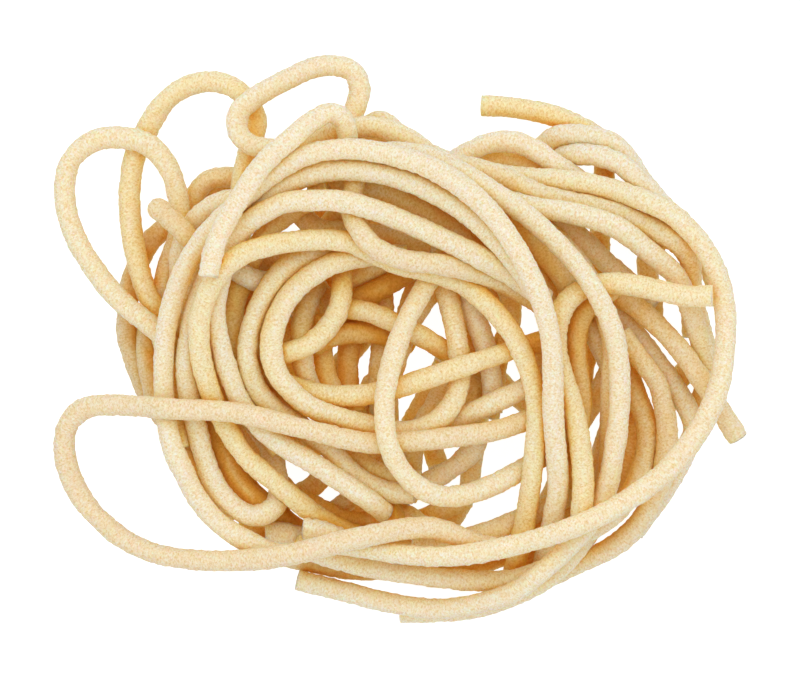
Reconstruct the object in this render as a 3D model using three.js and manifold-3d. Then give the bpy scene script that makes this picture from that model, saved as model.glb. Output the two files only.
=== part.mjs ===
// A bundle of dry pici: one loose nest of thick hand-rolled pasta strands, dried as it lay.
// Millimetres, +Z up, the nest lying on z = 0. Seen from above, +X is right and +Y is up.
// The strands that show are fused, at true thickness and with few sides, over a smaller core.
import * as THREE from "three";
import { mergeVertices } from "three/addons/utils/BufferGeometryUtils.js";
import Module from "manifold-3d";

// Driving dimensions
const STRAND_DIAMETER = 3.3;
const STRAND_RADIUS = STRAND_DIAMETER / 2;
const STOREY = 0.86 * STRAND_DIAMETER; // rise from one layer of strands to the next
const FUSED = 0.93 * STRAND_DIAMETER; // centre distance of two strands that cross and fuse

// The tube drawn along each strand
const TUBE_SIDES = 6;
const LOW_SIDES = 5; // the strands that lie low show little
const TUBE_STEP = 6;
const LOOP_STEP = 3.5; // the open loops bend more tightly
const LOW_STEP = 9;
const CORNER_SHARE = 1.06; // of the radius, so that few sides keep the thickness
const SLIVER = 0.05; // the fused solid's slivers that are smoothed away

// The hidden core, a low ring of two thick runs under the dense part of the nest
const CORE_RADIUS = 2.8;
const CORE_LIFT = 2.2;
const CORE_STEP = 8;

// How the strands settle on each other
const NODE_STEP = 1.5;
const SETTLE_ROUNDS = 500;
const FIRM_ROUNDS = 100; // the last rounds, with little smoothing
const BEND_REACH = 6; // nodes on each side that a stiff strand averages over
const BEND_SHARE = 0.25;
const FIRM_BEND_SHARE = 0.06;
const TARGET_SHARE = 0.03;
const PUSH_SHARE = 1.6;
const SELF_SKIP = 6; // nodes along one strand that can't press on each other
const SAME_OVERLAP = 2; // nodes between two places where the same strands overlap once

const PASTA_COLOUR = 0xe9d3a0;

// Each strand's centreline from above, as [x, y, storey]: the storey says what lies over what.
const LOOPS = {
  loop_left: [[-34, -3, 2], [-36.5, 0.5, 2.3], [-43.5, 6.5, 2], [-47.5, 11.5, 1.4], [-50.5, 17, 0.8],
    [-51.7, 22.5, 0.5], [-50.8, 27.5, 0.6], [-47.5, 30.5, 0.9], [-43.5, 31.2, 1.4], [-39, 30.2, 1.9],
    [-35.8, 27, 2.5], [-34, 23, 3], [-32.9, 19, 3.1], [-31.6, 14.5, 2.9]],
  loop_upper: [[-36.2, -1.5, 1.2], [-37.5, 4, 1.4], [-39.5, 8.5, 1.2], [-41.5, 18, 0.6],
    [-41.5, 25, 0.3], [-39.9, 29.7, 0.3], [-35.6, 36.5, 0.5], [-32.3, 38.9, 0.8], [-28.9, 39.5, 1.2],
    [-26, 38.6, 1.7], [-23.8, 36.5, 2.1], [-22.5, 33.5, 2.6], [-22.8, 31, 2.9], [-25.5, 25.5, 3.3],
    [-27.5, 20.5, 3.6]],
  loop_crown: [[-13, 27, 4.8], [-19, 29.5, 4.8], [-23, 30.3, 4.5], [-24.8, 32.5, 4.2],
    [-24.5, 35.2, 3.8], [-22.5, 37.2, 3.3], [-17.8, 39.9, 2.2], [-13.3, 41.9, 1.5], [-9.9, 42.2, 1.4],
    [-7.3, 41.3, 1.6], [-6.2, 38.7, 2], [-6.8, 36, 2.5], [-8, 33, 3], [-9.5, 29.5, 3.2]],
  loop_low: [[22, -11.4, 3.2], [15, -13.5, 3.8], [10, -14.7, 4.4], [0, -15.7, 5], [-5, -15.8, 5.4],
    [-15, -13.6, 5.8], [-25, -11.2, 5.8], [-35, -10.6, 4.8], [-40, -10.2, 3.6], [-45, -10, 2.3],
    [-48.5, -10.5, 1.5], [-51, -12.8, 0.9], [-51.7, -16, 0.5], [-51, -20, 0.4], [-49, -24, 0.5],
    [-46, -27.3, 0.8], [-42, -30.3, 1.4], [-37.5, -32.7, 2.2], [-33, -33.7, 3], [-28, -34, 3.7],
    [-18, -33.2, 4.7], [-8, -30.8, 5.2], [1, -29, 5.2], [5, -28.9, 5.1], [8.5, -30, 4.8],
    [12, -31.4, 4.4]],
};
const TOP = {
  short_top: [[-29.4, 9.8, 7.2], [-28.8, 13, 7.2], [-27.3, 17, 7.2], [-21, 27, 7.2], [-16.6, 31, 6.8],
    [-13.2, 33.8, 6.2], [-10.6, 34.9, 5.6], [-8.7, 33.8, 5.2], [-8, 31, 4.8]],
  sweep_1: [[-14.5, -33.5, 2], [-20, -32.6, 2], [-27, -28.8, 2.2], [-30.7, -25, 2.4], [-33.4, -20, 2.7],
    [-35.4, -15, 3], [-36.4, -5, 3.3], [-35.2, 5, 3.7], [-31.5, 14, 4.6], [-26, 20, 5.6], [-19, 26, 6.4],
    [-14, 28.5, 6.6], [-9, 29.3, 6.6], [-4, 29, 6.6], [5, 26.3, 6.6], [13, 20.5, 6.6], [19.5, 11, 6.6],
    [23, 1, 6.4], [23.6, -12, 6], [24.3, -23, 4.9], [23.6, -27, 3.8], [22.9, -30.5, 2.6],
    [22.2, -33.5, 1.5]],
  sweep_2: [[-24.5, -11, 2.6], [-21.4, -14.2, 2.4], [-19.5, -18, 2.1], [-18.9, -21, 1.9],
    [-18.6, -23.4, 1.9], [-19.1, -25.3, 2], [-20.6, -26.6, 2.2], [-23, -27, 2.4], [-26.2, -25, 2.8],
    [-28.8, -21.5, 3.2], [-31.5, -12.5, 3.8], [-32.9, -5, 4], [-31.5, 5, 4.1], [-28, 12.5, 3.7],
    [-24, 19, 4.2], [-20, 22.3, 5.4], [-16, 24.5, 5.7], [-10, 26, 5.8], [0, 24.8, 5.8], [10, 19.6, 5.8],
    [17.5, 12, 5.4], [21, 7, 4.9]],
  sweep_3: [[-2.3, -26.6, 4], [-4, -25.2, 4], [-12, -19.8, 4.4], [-21, -14, 4.6], [-25, -8.5, 4.6],
    [-27.8, 0, 4.6], [-28.5, 5, 4.6], [-26.6, 12.5, 5.2], [-24.5, 16.8, 5.6], [-18.5, 20.8, 5.6],
    [-14, 21.4, 5.6], [-9, 21.3, 5.8], [-4, 20, 5.8], [6, 15.8, 5.8], [16, 10.6, 5.2], [22.5, 6.2, 4.2]],
  sweep_4: [[17.7, -35, 1.8], [18.4, -32, 2.7], [19.3, -28.5, 3.6], [20.7, -19, 4.8], [20.9, -9, 5],
    [17.5, 0.5, 5.1], [11.5, 7.3, 5], [8, 9.3, 4.8], [4, 10.6, 4.4], [0.5, 11.4, 4.2], [-3, 12.8, 4.6],
    [-7, 14.8, 5], [-11, 15.4, 5.2], [-16, 15.2, 5.4], [-21, 14.3, 5.8], [-24.5, 13, 6.3],
    [-27.5, 10.5, 6.2], [-30, 6, 5.6], [-30.9, 1, 5.1], [-29.5, -7, 4.8], [-24.5, -17, 4.2],
    [-17.3, -25.3, 3.5], [-13, -28.6, 3.2], [-11, -30, 3]],
  rim: [[-20, 25.5, 3], [-16, 28.6, 3.4], [-12, 31, 3.8], [-8.5, 32.3, 4.2], [-4.5, 32.8, 4.8],
    [-0.5, 32, 5.2], [8, 28.3, 5.4], [19, 25.3, 5.2], [31, 23.6, 4.6], [40.7, 20.1, 4.2],
    [43.7, 17.7, 4.1], [46.2, 15, 4], [48.2, 11.6, 4], [49.5, 7.8, 4], [50.1, 2, 4], [48.6, -8.5, 4.2],
    [42.5, -18.5, 4.7], [34, -25.2, 5.3], [24, -29.7, 5.6], [12, -32.7, 5.4], [6, -33.3, 5.1],
    [1, -33, 4.7], [-6.5, -31.8, 3.9], [-9.5, -31.4, 3.4]],
  hook: [[6.5, 14, 3.4], [4.8, 10, 4], [0.8, 2.5, 5.4], [-1.9, -6, 6], [-2.4, -11, 6.2],
    [-1.8, -16, 6.1], [0.6, -20.5, 5.8], [3.5, -23, 5.4], [6.5, -24, 5], [10, -23.8, 4.6],
    [14, -22.4, 4.1], [18.7, -20, 3.5], [22.5, -17.5, 3]],
  fall_2: [[-15.8, -37, 1], [-8, -38.9, 1], [-3, -40.2, 1.2], [2, -41.1, 1.4], [7, -41.4, 1.6],
    [17, -39, 2], [21, -36.3, 2.3], [28, -29.5, 2.9], [31.2, -24.5, 3.7], [32.8, -18, 4.5],
    [33.8, -8, 5], [32.7, 1.5, 5.4], [28, 10.5, 5.5], [20, 18.7, 5.5], [12, 24, 5.2], [6, 27, 4.6]],
  crook: [[48, 6.8, 4.2], [44.5, 6.7, 4.2], [35.5, 8.5, 4.3], [32, 8.7, 4.4], [28.5, 8, 4.6],
    [26, 6, 4.8], [24.9, 3, 4.8], [24.9, -1, 4.8], [27, -11, 4.7], [28.2, -22, 4.4], [27.8, -27.2, 4.2]],
};
const MIDDLE = {
  dip: [[-6, 27.5, 4], [-7.2, 23, 4.8], [-7.4, 19.5, 5.2], [-6, 16.5, 5.4], [-3.5, 14, 5.5],
    [0, 12.5, 5.5], [8, 11.3, 5.2], [14, 9.6, 4.2], [20, 6.5, 3.2], [24, 3.6, 2.8]],
  bowl_1: [[-8, 14, 4], [-12, 13.6, 4.2], [-17, 11.5, 4.4], [-20.3, 8, 4.4], [-22.3, 4, 4.4],
    [-23.4, 0, 4.4], [-23.4, -3.5, 4.4], [-22, -7.5, 4.4], [-19.5, -10.5, 4.2], [-11, -16.5, 3.6],
    [-7.9, -20.1, 3.2], [-4.4, -22.5, 3], [-0.9, -23.5, 2.8], [2.4, -23.6, 2.4]],
  bowl_2: [[1, 13, 3.8], [-4, 13, 4.2], [-9.5, 12, 4.5], [-13.5, 10, 4.7], [-17, 6.8, 4.8],
    [-19, 3, 4.8], [-19.8, -1, 4.8], [-19, -4.8, 4.8], [-16.5, -8, 4.8], [-13, -10.3, 4.7],
    [-4.5, -13.2, 4.3], [0, -14.2, 4.1], [4, -13.4, 4], [7, -11.2, 3.9], [8.8, -8, 3.8], [9.2, -4, 3.8],
    [8, 4, 3.8], [6.5, 9.5, 3.5]],
  cross: [[-18.4, -0.5, 3.2], [-17.5, -3, 3.4], [-15.5, -6, 3.7], [-12, -8.2, 4.1], [-7.5, -8.6, 4.6],
    [-3, -8, 4.8], [8, -4.6, 4.8], [18.5, -1.2, 4], [22.5, 0, 3.4]],
  stub_left: [[-32, 14.4, 3.5], [-34, 17, 3.9], [-36.4, 20.3, 3.6], [-37.2, 19.8, 2.6], [-36.2, 17, 2]],
  back_1: [[-17, 22.5, 2.2], [-23, 24.6, 2.4], [-26.3, 25.1, 2.5], [-29.6, 24.6, 2.4], [-31.9, 21.7, 2],
    [-33.4, 18.5, 1.5], [-35, 14.5, 1.1], [-36.5, 9.5, 0.8], [-37, 4, 0.5]],
  back_2: [[-33.5, 13, 2], [-32.3, 17.2, 2.5], [-30, 20.3, 3.2], [-27.5, 21.6, 3.7], [-25, 21.8, 3.8],
    [-20, 20.5, 3.8]],
  crown_1: [[21.2, 28.8, 2.1], [22.4, 30.2, 2.2], [24.8, 31.5, 2.3], [28.5, 31.5, 2.4], [31, 31, 2.3],
    [33, 30.1, 2.1], [34.9, 28.2, 1.8], [37.2, 24.8, 1.5], [40.5, 20.5, 1.3], [44, 16.6, 1.2],
    [47, 12.8, 1.1], [49, 8, 1]],
  crown_2: [[23.2, 27, 1.7], [26, 28.4, 1.9], [29.5, 28.5, 2.1], [33.5, 27.3, 2.3], [36, 25.4, 2.4],
    [38.1, 23.3, 2.4], [40.8, 20.2, 2.2], [43.5, 16.8, 2]],
  crown_3: [[5, 25.5, 2.8], [7.5, 27.5, 3], [10.5, 29.5, 3.2], [14, 30.7, 3.2], [17.6, 30.6, 3.2],
    [20.9, 29.2, 3.2], [24, 27, 3.1], [29, 23.8, 2.6]],
  crown_4: [[7, 25, 2], [11, 27, 2.2], [15, 27.8, 2.3], [18.5, 27.2, 2.3], [25.5, 24.4, 2]],
  right_1: [[14.5, 24.4, 3.8], [25, 21.3, 4], [35, 18.6, 3.4], [39.6, 16.5, 2.9], [42.9, 14.9, 2.6],
    [44.6, 12.3, 2.2], [44.9, 9.5, 1.9], [45.3, 6, 1.6], [46.4, 1.5, 1.2], [47.8, -4, 0.9]],
  right_2: [[17, 22.2, 3.3], [26, 19.7, 3.4], [31, 18.3, 3.2], [34.7, 16.4, 3], [37.3, 14.3, 2.8],
    [40.2, 12, 2.6], [42.5, 9.8, 2.4], [44.6, 5, 2.2], [47.1, -3, 1.8], [48.2, -7, 1.6]],
  right_3: [[22.6, 19.4, 2.6], [24.5, 18.2, 2.6], [27.8, 15.8, 2.6], [30, 13.7, 2.5], [32.5, 11.3, 2.4],
    [34.6, 9.5, 2.3], [37, 7.4, 2], [39.3, 5.3, 1.6]],
  crook_low: [[33, 8, 3], [31, 6.5, 3.2], [28.5, 4.5, 3.4], [27.3, 1, 3.5], [27.5, -4, 3.5],
    [28, -9, 3.4], [27.5, -14, 3.1], [26, -19, 2.6]],
  right_4: [[31.5, 8, 2.6], [36.5, 5, 3], [42.5, -0.8, 2.8], [47.5, -7.8, 2.2], [52, -15, 1.4]],
  right_5: [[33, 5.2, 1.6], [38.3, -1.8, 2], [43.3, -8.7, 1.4], [45.3, -13.5, 1], [44, -17.2, 0.7],
    [41.2, -21.6, 0.4], [38.2, -26, 0.1], [35.8, -29.4, 0]],
  right_6: [[34, 1, 2.6], [37, -3, 2.6], [39.6, -6.5, 2.5], [40.4, -9.3, 2.3], [41.1, -13.4, 2],
    [41.1, -16.2, 1.8], [40.3, -21.5, 1.4], [38.6, -25.6, 1], [36.4, -28.7, 0.7], [33, -31.7, 0.4],
    [26, -35.5, 0]],
  right_7: [[33, 1.5, 1.3], [35, -4, 1.6], [36.5, -9, 1.7], [37.7, -13, 1.8], [37.5, -17, 1.8],
    [36, -22, 1.8], [33, -26.6, 1.9], [27, -30.6, 1.9]],
  low_2: [[-16, -31.5, 1.4], [-12, -33, 1.5], [-3, -35.3, 1.7], [9, -36.9, 1.6], [14, -37, 1.4],
    [19.5, -35.2, 1.2]],
  low_3: [[-18.3, -22.4, 1.4], [-16.2, -24.1, 2.2], [-12.5, -25.8, 2.8], [-8.4, -27.8, 2.9],
    [-4, -28, 2.7], [0, -26.8, 2.4]],
};
const LOW = {
  dark_left_1: [[-33.5, 17.3, 0.5], [-36, 17.3, 0.4], [-38.3, 15.8, 0.3], [-40.5, 12.5, 0.2],
    [-42, 9, 0], [-42.4, 4, 0], [-42, 0, 0], [-38.8, -8.5, 0], [-36.4, -14, 0.2], [-33.5, -19, 0.4]],
  dark_left_2: [[-37.6, 8, 0.3], [-38.6, 4, 0.4], [-39, -2, 0.6], [-38.3, -9, 0.8], [-36, -15.5, 0.9],
    [-32.5, -21, 1]],
  inner_1: [[-9, 11.5, 3], [-9, 7, 2.9], [-9.8, 4, 2.8], [-11.5, 1.5, 2.7], [-14, -0.7, 2.6],
    [-17.6, -2.1, 2.4]],
  inner_2: [[-12.9, 8.8, 1.9], [-15.2, 2, 1.8], [-15, -2.5, 1.8], [-14.3, -6, 1.8], [-12, -10, 1.8]],
  inner_3: [[-11.7, 3.6, 0.9], [-12, 1, 0.9], [-11.8, -3, 0.9], [-11, -6.5, 0.9], [-9, -10, 0.9]],
  inner_4: [[-7.2, 4, 0.2], [-7.6, 1, 0.2], [-8, -3, 0.2], [-8, -6.8, 0.2], [-7, -11, 0.2]],
  inner_5: [[-10, 0.8, 1.3], [-6, 1.2, 1.3], [-2, 0.7, 1.3], [1.5, -0.5, 1.3]],
  inner_6: [[-9.8, 5.2, 2.2], [-8, 4.9, 2.2], [-4.5, 4.2, 2.3], [2.5, 1, 2.6], [8, -2.3, 2.7],
    [11, -4, 2.6]],
  inner_7: [[-9.8, 8.6, 1.3], [-5.5, 10.5, 1.5], [-2, 12.2, 1.6], [2, 14.5, 1.7]],
  inner_8: [[-8.5, 5.2, 0.9], [-2, 8.4, 0.9], [3.4, 11.8, 0.9]],
  chunk: [[-28, 12, 3.3], [-25.6, 10.9, 3.4], [-22.5, 9.3, 3.4], [-18.5, 8.6, 3.2]],
  well_1: [[9, 11, 3], [11, 5, 3.4], [12.5, 1, 3.5], [13.6, -3, 3.3], [14.2, -7, 2.9], [13.4, -13, 2.3]],
  well_2: [[4, -14, 2.4], [11, -11.2, 2.9], [19, -7.5, 3], [24, -5, 2.6]],
  well_3: [[0.5, -24, 1.3], [7.4, -19.8, 1.5], [16.3, -12.9, 1.3]],
  well_4: [[12.2, -12, 0.6], [11.1, -19, 0.6], [10.5, -23, 0.6], [8.4, -27, 0.6], [4.5, -33, 0.6]],
  low_1: [[2, -31.5, 1.5], [6, -31, 1.9], [10.5, -30.4, 2.3], [18, -27.8, 2.6], [26, -24, 2.2]],
  end_low: [[-20, -29.7, 1.3], [-17, -29.8, 1.3], [-13, -30.6, 1.1]],
  bump: [[-6.5, 30.5, 2], [-5, 32.9, 2.1], [-3.5, 33.8, 2.2], [-1.8, 33.1, 2.1], [0, 31, 2]],
  free_end: [[12.4, 36.1, 0.2], [16, 36, 0.3], [24, 34.5, 0.7], [31, 31, 1], [34, 28.4, 0.9],
    [37.2, 24.4, 0.6], [40.5, 20, 0.3]],
  dark_right_1: [[0.3, -41.9, 0], [6, -41.9, 0.1], [12, -41.2, 0.3], [18, -39.2, 0.8], [23, -36.4, 1.1],
    [26.3, -33.2, 1.2], [31.3, -26.5, 1], [33.3, -23, 0.9], [34.8, -19, 0.8], [36, -15, 0.7],
    [35.6, -9, 0.5]],
  dark_right_2: [[26.6, -14.6, 1.9], [28.6, -11.6, 1.9], [31.7, -5.9, 1.9], [33.6, 0, 1.9]],
  dark_low: [[-23, -31.5, 0.6], [-17.5, -33.4, 0.6], [-10, -35, 0.6], [-5.5, -35.4, 0.7],
    [-2, -35.1, 0.7], [3, -34.6, 0.8], [8, -34.2, 0.8], [13, -33.7, 0.6], [17, -31.5, 0.5]],
  dark_mid: [[-20, -25.2, 0.8], [-16.5, -24.3, 1], [-13.4, -22.5, 1], [-11, -20, 1], [-8, -16.5, 1.2]],
  inner_9: [[5.6, 9.4, 1.6], [1.2, 1.9, 1.6], [-1.6, -6.6, 1.6]],
  inner_10: [[-2.7, 9, 0.6], [-2.6, 5, 0.6], [-2.8, 0, 0.6], [-3.2, -4, 0.6], [-3.2, -13, 0.6]],
  inner_11: [[-17, 4, 0.5], [-17.2, 0, 0.5], [-16, -5, 0.5]],
  inner_12: [[-13.5, 9, 0.3], [-11, 5.5, 0.3], [-10.3, 2, 0.3]],
  inner_13: [[-9.5, -3.2, 0], [-6.9, -0.2, 0], [-3, 3.5, 0]],
  inner_14: [[-7, -9.5, 0.2], [-4.6, -7, 0.2], [-2, -4.4, 0.2]],
  inner_15: [[7, -3.5, 1], [4, -9, 1], [1.6, -13, 1]],
  inner_16: [[8, -5, 1.6], [5.9, -9, 1.6], [3.5, -13, 1.6]],
  well_5: [[3, -14, 1], [2, -17, 1.1], [1.7, -20, 1.1], [1.4, -24, 0.8]],
  well_6: [[4.6, -15, 0.7], [5.3, -17.5, 0.6], [6, -19.6, 0.4]],
  well_7: [[10.4, -24.4, 1.2], [7.2, -25.8, 1.2], [4, -27.4, 1], [0, -29.2, 0.8]],
  well_8: [[-3.5, -24.6, 1.2], [0.4, -26.7, 1.3], [3.5, -28.6, 1]],
  dark_right_3: [[33.8, -10, 1], [32, -14.5, 1], [30.8, -19, 1], [30, -24, 1]],
  dark_right_4: [[45.2, -3.4, 0.6], [43.4, -5.5, 0.5], [41.3, -8.5, 0.5], [40.8, -11.5, 0.4]],
  dark_mid_2: [[-11.5, -27.4, 0.8], [-8.4, -25, 1], [-6, -22.8, 1], [-3, -19.5, 1.2]],
  bar_1: [[31.8, 29, 0.6], [31.5, 26, 0.5], [31.1, 20, 0.5], [30.8, 15, 0.5], [30.6, 10, 0.5]],
  bar_2: [[39.6, 20.5, 0.6], [39.2, 17, 0.6], [38.1, 12.5, 0.6], [37.9, 9.5, 0.6], [37.6, 6.5, 0.5]],
  bar_3: [[25.5, 7, 2.4], [28.2, 3, 2.6], [30.6, -1, 2.6], [33, -6, 2.4]],
  inner_17: [[8.6, 8, 1.6], [10.6, 3, 1.6], [11, -1, 1.6], [11.3, -6, 1.6], [11, -11, 1.5],
    [10, -15, 1.4]],
  inner_18: [[15, 10, 1.6], [16.4, 6, 1.4], [16.2, 2, 1.2], [15, -3, 1], [14.4, -8, 0.9],
    [13.6, -12, 0.8]],
  inner_19: [[3.2, 11, 0.8], [2.3, 7.6, 0.8], [0.9, 3.5, 0.8]],
  bar_4: [[45, 8, 0.4], [45, 4, 0.4], [45.2, 0.6, 0.4]],
};
// Strands that the upper ones hide, but for glimpses between them.
const UNDER = {
  under_1: [[-34, -16.5, 1.4], [-34.7, -5, 1.8], [-33.5, 5, 2.2], [-30, 12.5, 2.4]],
  under_2: [[-18.5, -17, 2.4], [-23.3, -10, 2.8], [-25.7, -2, 3], [-25.6, 5, 3], [-23.2, 11.5, 3.2],
    [-19.8, 17.4, 3.6], [-16, 20.3, 3.8], [-11, 23, 3.8]],
  under_3: [[-25, -21.5, 1.6], [-28.8, -12, 2.2], [-30.4, -2, 2.4], [-29.2, 8, 2.6], [-25.5, 15.5, 3],
    [-20.5, 20.5, 3.2]],
  under_4: [[-13.5, -15, 2], [-19, -9, 2.4], [-21.5, -2, 2.4], [-21, 4.5, 2.4], [-17, 9.7, 2.4],
    [-11.5, 12.3, 2.6]],
  under_5: [[-28, -22.5, 0.6], [-32.3, -12, 0.9], [-33.5, 0, 1.1], [-31.2, 10, 1.4], [-26, 18.3, 2],
    [-18, 24.3, 2.8], [-8, 26.8, 3.6], [3, 24.2, 3.9], [12, 18.3, 3.9], [17.5, 11, 3.6]],
  under_6: [[-21.5, -18, 0.6], [-26.5, -10, 1], [-28, 0, 1.2], [-26.6, 9, 1.4], [-22.2, 14.8, 1.8]],
  under_7: [[-14, 22.6, 3.4], [-7, 23.4, 3.6], [0, 21.6, 3.8], [8, 17.2, 3.8], [15.5, 10.5, 3.4]],
  under_8: [[-10.5, 25.2, 2.2], [-4, 22.8, 2.6], [2.5, 18.6, 2.8], [9.5, 12.2, 2.6]],
  under_9: [[-16.2, 20.6, 2.4], [-12.6, 17, 2.8], [-7, 16.6, 3], [0, 15.4, 3], [8, 12.2, 2.8]],
  under_10: [[-25, -29.6, 0.4], [-15, -31, 0.7], [-3, -32, 1], [7, -32.6, 0.9], [16, -31.6, 0.6]],
  under_11: [[20.5, 12, 3], [24.3, 2, 2.8], [25.4, -10, 2.4], [26, -20, 2], [26, -27, 1.6]],
  under_12: [[19, 20.4, 3], [27.5, 11.8, 3], [32.4, 1, 2.8], [32.4, -8, 2.4], [32.3, -14, 2],
    [31.8, -20, 1.6], [30, -25.5, 1.2]],
  under_13: [[-13.5, 15.4, 2.2], [-10.5, 18.3, 2.6], [-7, 21.5, 2.8], [-3, 24, 3]],
  under_14: [[-23.5, 11, 2.6], [-19.5, 13, 2.6], [-15, 13.6, 2.6], [-12, 13.9, 2.6]],
  under_15: [[-19, -13, 0.8], [-22.6, -6, 0.8], [-23.6, 2, 0.8], [-22.5, 8, 0.8], [-19, 11.5, 0.8]],
  under_16: [[17, 24.2, 2.2], [24, 22.4, 2.2], [31, 20.6, 2], [36, 17.6, 1.6], [40, 13.5, 1]],
  under_17: [[14, 21.5, 3.4], [19, 16.8, 3.4], [23.1, 12, 3.4], [26.5, 8, 3.2]],
  under_18: [[-34.5, -14, 1.2], [-31, -22, 1.4], [-26, -27.5, 1.4]],
  under_19: [[-28, -17, 0.8], [-25.6, -20.2, 1], [-22.6, -23.6, 1], [-19.3, -26.6, 0.9],
    [-15.5, -29.5, 0.7]],
  under_20: [[-11, -14.5, 1.8], [-7.4, -17.6, 2], [-4.4, -19.9, 2], [-1, -21.2, 2], [3, -21.8, 1.8]],
  under_21: [[0.2, -16.5, 1], [-1.5, -19, 1], [-3.5, -23, 0.9]],
};

// The core's two runs from above, as [x, y].
const CORE = {
  core_left: [[-2, 24.5], [-10, 24], [-18, 21.3], [-26.5, 14.5], [-31, 4], [-31.5, -7], [-28.5, -18],
    [-21.5, -27], [-11, -31.5], [2, -32.2]],
  core_right: [[-6, 24.5], [2, 23.5], [11, 18.8], [19.5, 12.5], [24.5, 4], [25.8, -7], [26, -18],
    [22, -27.5], [12, -32], [-2, -32]],
};

// Evenly spaced nodes along a smooth curve through a strand's waypoints.
function nodesAlong(waypoints) {
  const flat = waypoints.map(([x, y]) => new THREE.Vector3(x, y, 0));
  const lifted = waypoints.map(([x, y, storey]) => new THREE.Vector3(x, y, storey));
  const count = Math.max(4, Math.round(curveThrough(flat).getLength() / NODE_STEP));
  return curveThrough(lifted).getSpacedPoints(count);
}

function curveThrough(points) {
  return new THREE.CatmullRomCurve3(points, false, "centripetal");
}

function coreNodes(points) {
  return points.map(([x, y]) => new THREE.Vector3(x, y, CORE_LIFT));
}

// Pairs of nodes that overlap from above, with the height they need between them and its sign.
function findCrossings(nodes, strandOf) {
  const overlaps = new Map();
  for (let i = 0; i < nodes.length; i++) {
    for (let j = i + 1; j < nodes.length; j++) {
      if (strandOf[i] === strandOf[j] && j - i <= SELF_SKIP) continue;
      const apart = Math.hypot(nodes[i].x - nodes[j].x, nodes[i].y - nodes[j].y);
      if (apart >= FUSED) continue;
      const need = Math.sqrt(FUSED ** 2 - apart ** 2);
      const key = `${strandOf[i]} ${strandOf[j]}`;
      if (!overlaps.has(key)) overlaps.set(key, []);
      overlaps.get(key).push({ i, j, need });
    }
  }
  return [...overlaps.values()].flatMap(splitOverlaps).flatMap((overlap) => signOverlap(overlap, nodes));
}

// The pairs of two strands, parted where the strands leave each other.
function splitOverlaps(pairs) {
  const parts = [[]];
  pairs.forEach((pair, k) => {
    if (k > 0 && pair.i - pairs[k - 1].i > SAME_OVERLAP) parts.push([]);
    parts.at(-1).push(pair);
  });
  return parts;
}

// One overlap's pairs with a sign that is the same all along it: 1 where the first strand is over.
function signOverlap(pairs, nodes) {
  const over = pairs.reduce((sum, { i, j, need }) => sum + need * (nodes[i].z - nodes[j].z), 0);
  return pairs.map((pair) => ({ ...pair, sign: over >= 0 ? 1 : -1 }));
}

// One strand's heights averaged over BEND_REACH, with its ends carried on straight.
function smoothed(heights) {
  const last = heights.length - 1;
  const reach = Math.min(BEND_REACH, last);
  const at = (k) => {
    if (k < 0) return 2 * heights[0] - heights[-k];
    if (k > last) return 2 * heights[last] - heights[2 * last - k];
    return heights[k];
  };
  return heights.map((_, k) => {
    let sum = 0;
    let total = 0;
    for (let d = -reach; d <= reach; d++) {
      const weight = 1 + Math.cos((Math.PI * d) / (reach + 1));
      sum += weight * at(k + d);
      total += weight;
    }
    return sum / total;
  });
}

// Pushes each crossing pair of nodes apart in height, shared among a node's crossings.
function pushApart(heights, crossings) {
  const push = new Float64Array(heights.length);
  const hits = new Float64Array(heights.length);
  for (const { i, j, need, sign } of crossings) {
    const lack = need - sign * (heights[i] - heights[j]);
    if (lack <= 0) continue;
    push[i] += (sign * lack) / 2;
    push[j] -= (sign * lack) / 2;
    hits[i] += 1;
    hits[j] += 1;
  }
  return heights.map((z, k) => z + (PUSH_SHARE * push[k]) / Math.max(1, hits[k]));
}

// Settles the strands in height, so that each lies over or under the others as it shows.
function settle(strands) {
  const nodes = strands.flat();
  const strandOf = strands.flatMap((strand, index) => strand.map(() => index));
  const crossings = findCrossings(nodes, strandOf);
  const target = nodes.map((node) => STRAND_RADIUS + STOREY * node.z);
  let heights = target.slice();
  for (let round = 0; round < SETTLE_ROUNDS; round++) {
    const firm = round >= SETTLE_ROUNDS - FIRM_ROUNDS;
    const pull = firm ? 0 : TARGET_SHARE;
    const bend = firm ? FIRM_BEND_SHARE : BEND_SHARE;
    heights = pushApart(heights, crossings);
    heights = heights.map((z, k) => Math.max(STRAND_RADIUS, z + pull * (target[k] - z)));
    let start = 0;
    for (const strand of strands) {
      const own = heights.slice(start, start + strand.length);
      const even = smoothed(own);
      own.forEach((z, k) => {
        heights[start + k] = Math.max(STRAND_RADIUS, z + bend * (even[k] - z));
      });
      start += strand.length;
    }
  }
  nodes.forEach((node, k) => node.setZ(heights[k]));
}

// A closed tube of few sides along a settled strand.
function tubeGeometry(nodes, radius, sides, step) {
  const section = new THREE.Shape();
  for (let k = 0; k < sides; k++) {
    const turn = (2 * Math.PI * k) / sides;
    const reach = CORNER_SHARE * radius;
    const corner = [reach * Math.cos(turn), reach * Math.sin(turn)];
    if (k === 0) section.moveTo(...corner);
    else section.lineTo(...corner);
  }
  section.closePath();
  const path = curveThrough(nodes);
  const steps = Math.max(2, Math.round(path.getLength() / step));
  return new THREE.ExtrudeGeometry(section, { extrudePath: path, steps });
}

const wasm = await Module();
wasm.setup();

function solidOf(geometry) {
  geometry.deleteAttribute("normal");
  geometry.deleteAttribute("uv");
  const merged = mergeVertices(geometry, 1e-4);
  const mesh = new wasm.Mesh({
    numProp: 3,
    vertProperties: merged.attributes.position.array,
    triVerts: new Uint32Array(merged.index.array),
  });
  return new wasm.Manifold(mesh);
}

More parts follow.
